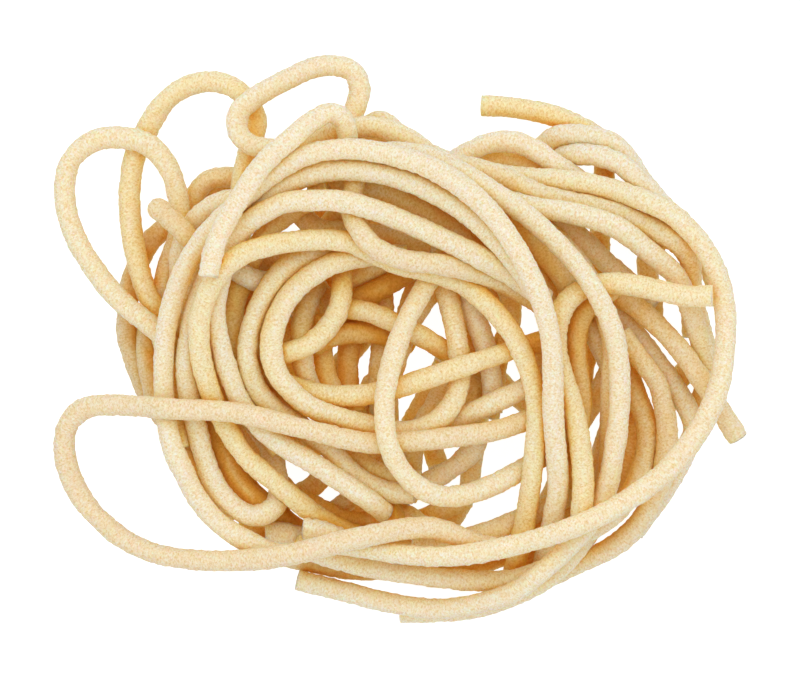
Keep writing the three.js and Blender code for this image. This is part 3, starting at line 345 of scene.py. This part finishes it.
# Strands that the upper ones hide, but for glimpses between them
UNDER = {
    "under_1": [(-34, -16.5, 1.4), (-34.7, -5, 1.8), (-33.5, 5, 2.2), (-30, 12.5, 2.4)],
    "under_2": [(-18.5, -17, 2.4), (-23.3, -10, 2.8), (-25.7, -2, 3), (-25.6, 5, 3), (-23.2, 11.5, 3.2),
        (-19.8, 17.4, 3.6), (-16, 20.3, 3.8), (-11, 23, 3.8)],
    "under_3": [(-21.5, -25.3, 1.2), (-25, -21.5, 1.6), (-28.8, -12, 2.2), (-30.4, -2, 2.4),
        (-29.2, 8, 2.6), (-25.5, 15.5, 3), (-20.5, 20.5, 3.2)],
    "under_4": [(-13.5, -15, 2), (-19, -9, 2.4), (-21.5, -2, 2.4), (-21, 4.5, 2.4), (-17, 9.7, 2.4),
        (-11.5, 12.3, 2.6)],
    "under_5": [(-28, -22.5, 0.6), (-32.3, -12, 0.9), (-33.5, 0, 1.1), (-31.2, 10, 1.4), (-26, 18.3, 2),
        (-18, 24.3, 2.8), (-8, 26.8, 3.6), (3, 24.2, 3.9), (12, 18.3, 3.9), (17.5, 11, 3.6)],
    "under_6": [(-18.3, -22.4, 0.4), (-21.5, -18, 0.6), (-26.5, -10, 1), (-28, 0, 1.2), (-26.6, 9, 1.4),
        (-22.2, 14.8, 1.8)],
    "under_7": [(-14, 22.6, 3.4), (-7, 23.4, 3.6), (0, 21.6, 3.8), (8, 17.2, 3.8), (15.5, 10.5, 3.4)],
    "under_8": [(-10.5, 25.2, 2.2), (-4, 22.8, 2.6), (2.5, 18.6, 2.8), (9.5, 12.2, 2.6)],
    "under_9": [(-16.2, 20.6, 2.4), (-12.6, 17, 2.8), (-7, 16.6, 3), (0, 15.4, 3), (8, 12.2, 2.8)],
    "under_10": [(-25, -29.6, 0.4), (-15, -31, 0.7), (-3, -32, 1), (7, -32.6, 0.9), (16, -31.6, 0.6)],
    "under_11": [(20.5, 12, 3), (24.3, 2, 2.8), (25.4, -10, 2.4), (26, -20, 2), (26, -27, 1.6)],
    "under_12": [(19, 20.4, 3), (27.5, 11.8, 3), (32.4, 1, 2.8), (32.4, -8, 2.4), (32.3, -14, 2),
        (31.8, -20, 1.6), (30, -25.5, 1.2)],
    "under_13": [(-13.5, 15.4, 2.2), (-10.5, 18.3, 2.6), (-7, 21.5, 2.8), (-3, 24, 3)],
    "under_14": [(-23.5, 11, 2.6), (-19.5, 13, 2.6), (-15, 13.6, 2.6), (-12, 13.9, 2.6)],
    "under_15": [(-19, -13, 0.8), (-22.6, -6, 0.8), (-23.6, 2, 0.8), (-22.5, 8, 0.8), (-19, 11.5, 0.8)],
    "under_16": [(17, 24.2, 2.2), (24, 22.4, 2.2), (31, 20.6, 2), (36, 17.6, 1.6), (40, 13.5, 1)],
    "under_17": [(14, 21.5, 3.4), (19, 16.8, 3.4), (23.2, 12, 3.4), (26.1, 8.2, 3.2)],
    "under_18": [(-34.5, -14, 1.2), (-31, -22, 1.4), (-26, -27.5, 1.4)],
    "under_19": [(-28, -17, 0.8), (-25.6, -20.2, 1), (-22.6, -23.6, 1), (-19.3, -26.6, 0.9),
        (-15.5, -29.5, 0.7)],
    "under_20": [(-11, -14.5, 1.8), (-7.4, -17.6, 2), (-4.4, -19.9, 2), (-1, -21.2, 2), (3, -21.8, 1.8)],
    "under_21": [(0.2, -16.5, 1), (-1.5, -19, 1), (-3.5, -23, 0.9)],
    "under_22": [(-14, 9.8, 0), (-11, 9.2, 0), (-8, 8.5, 0), (-5, 8.9, 0), (-1.5, 10.8, 0), (2, 13.4, 0)],
    "under_23": [(-19.5, 6.5, 0), (-16.2, 4.9, 0), (-12.6, 4.5, 0), (-9.5, 3, 0)],
    "under_24": [(-32, 20.3, 0), (-28.8, 22.6, 0.3), (-25, 23.5, 0.5), (-21, 23, 0.5)],
    "under_25": [(12.5, -4.4, 0.6), (14.6, -6, 0.6), (16.7, -7.7, 0.6), (20.5, -10.6, 0.6)],
    "under_26": [(-15.5, 21, 1), (-12.4, 19.6, 1), (-9, 18.6, 1), (-4.5, 18.2, 1), (0.5, 17, 1)],
    "under_27": [(25.5, -19.5, 1.2), (23.6, -23.5, 1.2), (21.4, -27.8, 1.1), (20.5, -31.5, 0.6),
        (20.2, -35, 0.2)],
    "under_28": [(-2.3, -6.5, 1), (-1.9, -10, 1), (-1.7, -14.5, 1)],
    "under_29": [(-6.5, -15.5, 0.5), (-4, -17.8, 0.5), (-1.5, -20.5, 0.4)],
    "under_30": [(-9.5, -24.5, 0), (-6.4, -26, 0), (-3.5, -27, 0)],
    "under_31": [(-18.5, -13.5, 0.2), (-15.5, -15.6, 0.2), (-12.5, -17.8, 0.2)],
    "under_32": [(-12, 30.5, 2.2), (-6, 31, 2.3), (0, 29.6, 2.3), (5, 27.4, 2.2)],
    "under_33": [(25.2, -22, 0.2), (25.8, -27, 0.2), (26, -31, 0.2)],
    "under_34": [(21.5, 13, 1.4), (24.4, 9, 1.4), (27.5, 5.6, 1.2)],
    "under_35": [(22.6, -0.6, 2.2), (21.1, -3.4, 2.2), (20, -6.5, 2.2)],
    "under_36": [(12.5, 9.5, 0.8), (14.5, 7.2, 0.8), (16.5, 4.6, 0.8)],
    "under_37": [(30.2, 1.2, 1), (28.7, -2.6, 1), (27.9, -6.5, 1)],
}

rng = np.random.default_rng(SEED)


def smooth_curve(waypoints, per_span=SPAN_POINTS):
    """Points of a centripetal Catmull-Rom curve through the waypoints."""
    p = np.array(waypoints, float)
    p = np.vstack([2 * p[0] - p[1], p, 2 * p[-1] - p[-2]])
    t = np.linspace(0, 1, per_span, endpoint=False)[:, None]
    spans = []
    for a, b, c, d in zip(p[:-3], p[1:-2], p[2:-1], p[3:]):
        before, own, after = (math.sqrt(np.linalg.norm(v)) for v in (b - a, c - b, d - c))
        leave = own * ((b - a) / before - (c - a) / (before + own)) + c - b
        arrive = own * ((d - c) / after - (d - b) / (own + after)) + c - b
        cubic = 2 * b - 2 * c + leave + arrive
        square = -3 * b + 3 * c - 2 * leave - arrive
        spans.append(b + leave * t + square * t**2 + cubic * t**3)
    return np.vstack(spans + [p[-2:-1]])


def evenly_spaced(points, step, axes):
    """The curve's points again, at even steps of its length in the given number of axes."""
    gaps = np.linalg.norm(np.diff(points[:, :axes], axis=0), axis=1)
    along = np.concatenate([[0], np.cumsum(gaps)])
    count = max(LEAST_NODES, round(along[-1] / step) + 1)
    stops = np.linspace(0, along[-1], count)
    return np.stack([np.interp(stops, along, column) for column in points.T], axis=1)


def crossings(nodes, strand_of):
    """Pairs of nodes that overlap from above, the height that they need between them and its sign."""
    pairs = []
    for i in range(len(nodes) - 1):
        apart = np.hypot(*(nodes[i + 1:, :2] - nodes[i, :2]).T)
        near = i + 1 + np.nonzero(apart < DIAMETER)[0]
        free = (strand_of[near] != strand_of[i]) | (near - i > SELF_SKIP)
        pairs += [(i, j) for j in near[free]]
    first, second = np.array(pairs).T
    order = np.lexsort((first, strand_of[second], strand_of[first]))
    first, second = first[order], second[order]
    apart = np.hypot(*(nodes[first, :2] - nodes[second, :2]).T)
    need = np.sqrt(DIAMETER**2 - apart**2)
    return first, second, need, overlap_signs(nodes, strand_of, first, second, need)


def overlap_signs(nodes, strand_of, first, second, need):
    """1 where the first strand lies over the second, else -1, the same all along an overlap."""
    new_pair = (np.diff(strand_of[first]) != 0) | (np.diff(strand_of[second]) != 0)
    starts = np.concatenate([[0], 1 + np.nonzero(new_pair | (np.diff(first) > SAME_OVERLAP))[0]])
    over = np.add.reduceat(need * (nodes[first, 2] - nodes[second, 2]), starts)
    lengths = np.diff(np.append(starts, len(first)))
    return np.repeat(np.where(over >= 0, 1.0, -1.0), lengths)


def bend_weights(count, reach):
    """A raised cosine over a stiff strand's reach, or over all of a short strand."""
    reach = min(reach, count - 1)
    weights = 1 + np.cos(np.pi * np.arange(-reach, reach + 1) / (reach + 1))
    return reach, weights / weights.sum()


def bent(heights, reach, weights):
    """One strand's heights averaged over its reach, with its ends carried on straight."""
    before = 2 * heights[0] - heights[reach:0:-1]
    after = 2 * heights[-1] - heights[-2:-reach - 2:-1]
    return np.convolve(np.concatenate([before, heights, after]), weights, "valid")


def settle(strands):
    """Each strand's nodes with their heights, lying over or under the others as its storeys say."""
    nodes = np.vstack(strands)
    strand_of = np.repeat(np.arange(len(strands)), [len(s) for s in strands])
    first, second, need, sign = crossings(nodes, strand_of)
    stops = np.cumsum([len(s) for s in strands])
    runs = [(stop - len(s), stop, *bend_weights(len(s), BEND_REACH)) for s, stop in zip(strands, stops)]
    target = RADIUS + STOREY * nodes[:, 2]
    z = target.copy()
    total = len(z)
    for turn in range(SETTLE_ROUNDS):
        firm = turn >= SETTLE_ROUNDS - FIRM_ROUNDS
        lack = np.maximum(need - sign * (z[first] - z[second]), 0)
        hits = np.bincount(first, lack > 0, total) + np.bincount(second, lack > 0, total)
        push = np.bincount(first, sign * lack / 2, total) - np.bincount(second, sign * lack / 2, total)
        z += PUSH_SHARE * push / np.maximum(1, hits)
        if not firm:
            z += TARGET_SHARE * (target - z)
        z = np.maximum(z, RADIUS)
        share = FIRM_BEND_SHARE if firm else BEND_SHARE
        for start, stop, reach, weights in runs:
            own = z[start:stop]
            own += share * (bent(own, reach, weights) - own)
        z = np.maximum(z, RADIUS)
    for start, stop, _, _ in runs:
        z[start:stop] = bent(z[start:stop], *bend_weights(stop - start, LAST_BEND_REACH))
    nodes[:, 2] = np.maximum(z, RADIUS)
    return np.split(nodes, stops[:-1])


def slow_noise(count, step, length):
    """Smooth random values about zero along a strand, changing over the given length."""
    knots = LEAST_KNOTS + int(count * step / length)
    values = smooth_curve(np.column_stack([np.arange(knots), rng.normal(size=knots)]), FINE_SPAN_POINTS)
    return np.interp(np.linspace(0, knots - 1, count), values[:, 0], values[:, 1])


def grain_noise(rings, sides):
    """Fine random relief over a strand's surface, a little longer round it than along it."""
    noise = rng.normal(size=(rings, sides))
    around = noise + np.roll(noise, 1, axis=1)
    along = around.copy()
    along[1:] += GRAIN_CARRY * around[:-1]
    return along / along.std()


def frames_along(line):
    """Unit tangents, with two unit normals that don't twist about the line."""
    tangents = np.gradient(line, axis=0)
    tangents /= np.linalg.norm(tangents, axis=1)[:, None]
    normals = np.empty_like(tangents)
    normal = np.cross(tangents[0], (0, 0, 1.0))
    for k, tangent in enumerate(tangents):
        normal = normal - tangent * (normal @ tangent)
        normal /= np.linalg.norm(normal)
        normals[k] = normal
    return tangents, normals, np.cross(tangents, normals)


def side_turns(sides):
    """The angles of a ring's points."""
    return np.linspace(0, 2 * math.pi, sides, endpoint=False)


def tube_rings(nodes, ring_step, sides):
    """A strand's rings of surface points, with its centreline and tangents."""
    line = evenly_spaced(smooth_curve(nodes, FINE_SPAN_POINTS), ring_step, 3)
    count = len(line)
    tangents, normals, binormals = frames_along(line)
    turns = side_turns(sides)
    swell = SLOW_SWELL * slow_noise(count, ring_step, SLOW_LENGTH)
    swell += QUICK_SWELL * slow_noise(count, ring_step, QUICK_LENGTH)
    oval_turn = OVAL_TURN * slow_noise(count, ring_step, OVAL_LENGTH)
    oval = OVALITY * np.cos(2 * (turns[None, :] - oval_turn[:, None]))
    radius = RADIUS * (1 + swell[:, None] + oval) + GRAIN_RELIEF * grain_noise(count, sides)
    across = np.cos(turns)[:, None] * normals[:, None] + np.sin(turns)[:, None] * binormals[:, None]
    return line[:, None] + radius[:, :, None] * across, line, tangents


def end_rings(centre, outward, ring, profile):
    """The rings that close a strand's end, from its rim to its middle, and the middle point."""
    sides = len(ring)
    turns = side_turns(sides)
    slant = CUT_SLANT * RADIUS * rng.uniform(LEAST_SLANT, 1) * np.cos(turns + rng.uniform(0, 2 * math.pi))
    spokes = ring - centre
    rings = []
    for share, out in profile:
        rise = out + share * slant + CUT_RELIEF * (1 - share) * rng.normal(size=sides)
        rings.append(centre + share * spokes + rise[:, None] * outward)
    return rings, centre + profile[-1][1] * outward


def tube_faces(rings, sides):
    """Quads between the rings of a tube."""
    here = np.arange(sides)
    there = (here + 1) % sides
    first = np.column_stack([here, there, there + sides, here + sides])
    return (first[None] + sides * np.arange(rings - 1)[:, None, None]).reshape(-1, 4)


def cap_faces(rings, sides):
    """Fans of triangles from the first and last ring to the two points that follow all rings."""
    here = np.arange(sides)
    there = (here + 1) % sides
    last = sides * (rings - 1)
    head = np.column_stack([there, here, np.full(sides, rings * sides)])
    tail = np.column_stack([here + last, there + last, np.full(sides, rings * sides + 1)])
    return np.vstack([head, tail])


def obstacle_tree(tubes):
    """All strands, with fewer rings and sides, as one tree to cast rays at."""
    points, faces = [], []
    start = 0
    for rings, _, _ in tubes:
        coarse = rings[::SHELTER_SKIP, ::SHELTER_SKIP]
        points += coarse.reshape(-1, 3).tolist()
        faces += (tube_faces(*coarse.shape[:2]) + start).tolist()
        start = len(points)
    return BVHTree.FromPolygons(points, faces)


def hemisphere(count):
    """Directions about +Z, denser towards it as matt light is."""
    shade_channels = math.pi * (3 - math.sqrt(5))
    shares = (np.arange(count) + 0.5) / count
    out = np.sqrt(shares)
    turns = shade_channels * np.arange(count)
    return np.column_stack([out * np.cos(turns), out * np.sin(turns), np.sqrt(1 - shares)]).tolist()


def blocked_share(tree, point, normal, directions):
    """The share of the directions out of a surface point that meet another strand nearby."""
    across = normal.orthogonal().normalized()
    beyond = normal.cross(across)
    start = point + SHELTER_LIFT * normal
    hits = 0
    for a, b, c in directions:
        hit = tree.ray_cast(start, a * across + b * beyond + c * normal, SHELTER_REACH)
        hits += hit[0] is not None
    return hits / len(directions)


def shelter_of(tree, rings, line):
    """How closed in a strand is at each point of its rings, from 0 to 1."""
    tested = rings[::SHELTER_SKIP, ::SHELTER_SKIP]
    outward = tested - line[::SHELTER_SKIP, None]
    directions = hemisphere(SHELTER_RAYS)
    coarse = np.empty(tested.shape[:2])
    for place in np.ndindex(coarse.shape):
        normal = Vector(outward[place]).normalized()
        coarse[place] = blocked_share(tree, Vector(tested[place]), normal, directions)
    count, sides = rings.shape[:2]
    round_it = np.column_stack([coarse, coarse[:, 0]])
    at_sides = np.arange(round_it.shape[1]) * SHELTER_SKIP
    at_sides[-1] = sides
    every_side = np.array([np.interp(np.arange(sides), at_sides, row) for row in round_it])
    at_rings = np.arange(len(coarse)) * SHELTER_SKIP
    return np.array([np.interp(np.arange(count), at_rings, column) for column in every_side.T]).T


def tone_and_shade_of(name):
    """A strand's shift along its painted shade, and its brightness: partly its own tone, partly painted
    shadow where it lies low under the nest.
    """
    for shift, brightness, names in TONES_AND_SHADES:
        if name in names:
            return shift, brightness
    return rng.normal(0, TONE_SPREAD), 1.0


def painted_shade_of(shelter, name):
    """The painted shade that multiplies the dough's colour at each point of a strand, darker and golden
    where other strands close it in.
    """
    shift, brightness = tone_and_shade_of(name)
    shade_channels = [np.interp(shelter + shift, PAINTED_SHADE_STOPS, channel) for channel in zip(*PAINTED_SHADE_TINTS)]
    return np.column_stack([brightness * channel for channel in shade_channels] + [np.ones(len(shelter))])


def surface_places(along, sides):
    """Each point's place on a strand laid straight along z, with the middles of its two ends."""
    turns = side_turns(sides)
    places = np.empty((len(along), sides, 3))
    places[:, :, 0] = RADIUS * np.cos(turns)
    places[:, :, 1] = RADIUS * np.sin(turns)
    places[:, :, 2] = along[:, None]
    return np.vstack([places.reshape(-1, 3), [[0, 0, along[0]], [0, 0, along[-1]]]])


def closed_tube(tube, shelter, ring_step, profile):
    """Vertices, faces, surface places and shelter of one strand with its ends."""
    rings, line, tangents = tube
    count, sides = rings.shape[:2]
    head, head_tip = end_rings(line[0], -tangents[0], rings[0], profile)
    tail, tail_tip = end_rings(line[-1], tangents[-1], rings[-1], profile)
    every_ring = head[::-1] + list(rings) + tail
    vertices = np.vstack(every_ring + [head_tip[None], tail_tip[None]])
    faces = tube_faces(len(every_ring), sides).tolist() + cap_faces(len(every_ring), sides).tolist()
    along = np.arange(-len(head), count + len(tail)) * ring_step + rng.uniform(0, GRAIN_RANGE)
    ends = np.full(len(head), 0), np.arange(count), np.full(len(tail), count - 1)
    closed = shelter[np.concatenate(ends)].ravel()
    closed = np.concatenate([closed, [shelter[0].mean(), shelter[-1].mean()]])
    return vertices, faces, surface_places(along, sides), closed


def joined_strands(tubes, tree, ring_step):
    """Vertices, faces, surface places and painted shade tints of several named strands together."""
    vertices, faces, places, painted_shades = [], [], [], []
    start = 0
    for strand, tube in tubes.items():
        closed_in = shelter_of(tree, tube[0], tube[1])
        profile = ROUND_RINGS if strand in ROUND_ENDED else CUT_RINGS
        points, polygons, surface, own_shelter = closed_tube(tube, closed_in, ring_step, profile)
        points[:, 2] = np.maximum(points[:, 2], 0)
        faces += [[start + corner for corner in polygon] for polygon in polygons]
        vertices.append(points)
        places.append(surface)
        # painted shade: each point's colour tint, darker and golden as far as other strands close it in
        painted_shades.append(painted_shade_of(own_shelter, strand))
        start += len(points)
    return np.vstack(vertices), faces, np.vstack(places), np.vstack(painted_shades)


def make_piece(name, tubes, tree, ring_step, material):
    """One object of several named strands, in metres, standing in for the CAD node."""
    vertices, faces, places, painted_shades = joined_strands(tubes, tree, ring_step)
    mesh = bpy.data.meshes.new(name)
    mesh.from_pydata((vertices * MM).tolist(), [], faces)
    place_layer = mesh.attributes.new("strand_place", "FLOAT_VECTOR", "POINT")
    place_layer.data.foreach_set("vector", places.ravel())
    # the painted shade tint, kept as a colour on each point
    shade_layer = mesh.attributes.new("shade_tint", "FLOAT_COLOR", "POINT")
    shade_layer.data.foreach_set("color", painted_shades.ravel())
    mesh.shade_smooth()
    mesh.materials.append(material)
    piece = bpy.data.objects.new(name, mesh)
    bpy.context.collection.objects.link(piece)
    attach(piece, "root")
    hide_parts("pici_bundle")


def add_node(tree, kind, **settings):
    """A shader node with its properties, or the defaults of its named sockets, set."""
    node = tree.nodes.new(kind)
    for key, value in settings.items():
        if hasattr(node, key):
            setattr(node, key, value)
        else:
            node.inputs[key.replace("_", " ")].default_value = value
    return node


def ramp_stops(node, stops):
    """Gives a colour ramp its (place, colour) stops."""
    elements = node.color_ramp.elements
    while len(elements) < len(stops):
        elements.new(0.5)
    for element, (place, colour) in zip(elements, stops):
        element.position = place
        element.color = (*colour, 1)


def mottled_grain(tree):
    """Noise over a strand's own surface, a little finer along the strand than round it."""
    place = add_node(tree, "ShaderNodeAttribute", attribute_name="strand_place")
    stretch = add_node(tree, "ShaderNodeMapping", Scale=GRAIN_STRETCH)
    tree.links.new(place.outputs["Vector"], stretch.inputs["Vector"])
    grain = add_node(tree, "ShaderNodeTexNoise", Scale=GRAIN_SCALE, Detail=GRAIN_DETAIL,
                     Roughness=GRAIN_ROUGHNESS, Distortion=GRAIN_WARP)
    tree.links.new(stretch.outputs["Vector"], grain.inputs["Vector"])
    return grain


def pasta_material():
    """Pale semolina dough, dried matt, with a fine mottled grain and painted shade, darker and golden
    where other strands close it in.
    """
    material = bpy.data.materials.new("pasta")
    material.use_nodes = True
    tree = material.node_tree
    link = tree.links.new
    shader = tree.nodes["Principled BSDF"]
    shader.inputs["Roughness"].default_value = ROUGHNESS
    shader.inputs["Specular IOR Level"].default_value = SPECULAR_LEVEL
    shader.inputs["Subsurface Weight"].default_value = SEE_THROUGH
    shader.inputs["Subsurface Radius"].default_value = SEE_THROUGH_REACH
    shader.inputs["Subsurface Scale"].default_value = SEE_THROUGH_DEPTH * MM
    grain = mottled_grain(tree)
    grain_colour = add_node(tree, "ShaderNodeValToRGB")
    ramp_stops(grain_colour, GRAIN_COLOURS)
    link(grain.outputs["Fac"], grain_colour.inputs["Fac"])
    # painted shade: the grain's colour is multiplied by the shade tint, darker and golden in crevices
    shade_tint = add_node(tree, "ShaderNodeAttribute", attribute_name="shade_tint")
    mix = add_node(tree, "ShaderNodeMix", data_type="RGBA", blend_type="MULTIPLY")
    mix.inputs["Factor"].default_value = 1.0
    link(grain_colour.outputs["Color"], mix.inputs["A"])
    link(shade_tint.outputs["Color"], mix.inputs["B"])
    link(mix.outputs["Result"], shader.inputs["Base Color"])
    bump = add_node(tree, "ShaderNodeBump", Strength=GRAIN_BUMP, Distance=GRAIN_DEPTH * MM)
    link(grain.outputs["Fac"], bump.inputs["Height"])
    link(bump.outputs["Normal"], shader.inputs["Normal"])
    return material


def make_floor():
    """A plain white table that glows a little, so that it stays pale between the strands."""
    half = FLOOR_SIDE / 2 * MM
    corners = [(-half, -half, 0), (half, -half, 0), (half, half, 0), (-half, half, 0)]
    mesh = bpy.data.meshes.new("floor")
    mesh.from_pydata(corners, [], [(0, 1, 2, 3)])
    material = bpy.data.materials.new("floor")
    material.use_nodes = True
    shader = material.node_tree.nodes["Principled BSDF"]
    shader.inputs["Base Color"].default_value = FLOOR_COLOUR
    shader.inputs["Roughness"].default_value = FLOOR_ROUGHNESS
    shader.inputs["Emission Color"].default_value = FLOOR_GLOW_COLOUR
    shader.inputs["Emission Strength"].default_value = FLOOR_GLOW
    mesh.materials.append(material)
    floor = bpy.data.objects.new("floor", mesh)
    bpy.context.collection.objects.link(floor)
    floor.visible_diffuse = False
    floor.visible_glossy = False


def add_light(name, place, size, power):
    """A square soft light, in millimetres and watts, facing the nest."""
    light = bpy.data.lights.new(name, "AREA")
    light.size = size * MM
    light.energy = power
    lamp = bpy.data.objects.new(name, light)
    bpy.context.collection.objects.link(lamp)
    lamp.location = np.array(place) * MM
    lamp.rotation_euler = (-lamp.location).to_track_quat("-Z", "Y").to_euler()


def surround():
    """An even pale surround, a little darker and warmer below the horizon."""
    world = bpy.data.worlds.new("surround")
    world.use_nodes = True
    tree = world.node_tree
    direction = add_node(tree, "ShaderNodeTexCoord")
    split = add_node(tree, "ShaderNodeSeparateXYZ")
    tree.links.new(direction.outputs["Generated"], split.inputs["Vector"])
    share = add_node(tree, "ShaderNodeMapRange", From_Min=GROUND_FADE[0], From_Max=GROUND_FADE[1])
    tree.links.new(split.outputs["Z"], share.inputs["Value"])
    shade = add_node(tree, "ShaderNodeValToRGB")
    ramp_stops(shade, [(0.0, GROUND_COLOUR), (1.0, SURROUND_COLOUR)])
    tree.links.new(share.outputs["Result"], shade.inputs["Fac"])
    background = tree.nodes["Background"]
    background.inputs["Strength"].default_value = SURROUND_STRENGTH
    tree.links.new(shade.outputs["Color"], background.inputs["Color"])
    return world


def light_scene():
    """One soft light above the nest, towards its upper side, in an even pale surround."""
    add_light("key", KEY_PLACE, KEY_SIZE, KEY_WATTS)
    bpy.context.scene.world = surround()
    bpy.context.scene.view_settings.view_transform = "Standard"


def aim_camera(shift):
    """A far camera straight above, framed as the picture is."""
    camera = bpy.data.cameras.new("camera")
    camera.sensor_fit = "HORIZONTAL"
    camera.sensor_width = SENSOR
    camera.lens = SENSOR * (CAMERA_HEIGHT - FOCUS_HEIGHT) * PIXELS_PER_MM / PICTURE_WIDTH
    eye = bpy.data.objects.new("camera", camera)
    bpy.context.collection.objects.link(eye)
    across = (PICTURE_WIDTH / 2 - TRACE_ORIGIN[0]) / PIXELS_PER_MM + shift[0]
    up = (TRACE_ORIGIN[1] - PICTURE_HEIGHT / 2) / PIXELS_PER_MM + shift[1]
    eye.location = (across * MM, up * MM, CAMERA_HEIGHT * MM)
    bpy.context.scene.camera = eye


def shift_to_frame(strands):
    """How far the waypoints' own middle is from the CAD node's, in millimetres."""
    nodes = np.vstack(strands)[:, :2]
    middle = (nodes.min(axis=0) + nodes.max(axis=0)) / 2
    low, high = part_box("pici_bundle")
    return (np.array(low[:2]) + np.array(high[:2])) / 2 / MM - middle


def main():
    """Lays the strands and makes their pieces, the floor, the light and the camera."""
    groups = {
        "pici_loops": LOOPS,
        "pici_top": TOP,
        "pici_middle": MIDDLE,
        "pici_low": LOW,
        "pici_under": UNDER,
    }
    rows = [row for group in groups.values() for row in group.values()]
    strands = settle([evenly_spaced(smooth_curve(row), NODE_STEP, 2) for row in rows])
    shift = shift_to_frame(strands)
    strands = [nodes + np.append(shift, 0) for nodes in strands]
    steps = [HIDDEN_RING_STEP if name == "pici_under" else RING_STEP for name in groups]
    tubes = {}
    for (name, group), step in zip(groups.items(), steps):
        own, strands = strands[:len(group)], strands[len(group):]
        tubes[name] = {strand: tube_rings(nodes, step, SIDES) for strand, nodes in zip(group, own)}
    tree = obstacle_tree([tube for own in tubes.values() for tube in own.values()])
    pasta = pasta_material()
    for name, step in zip(tubes, steps):
        make_piece(name, tubes[name], tree, step, pasta)
    make_floor()
    light_scene()
    aim_camera(shift)


main()
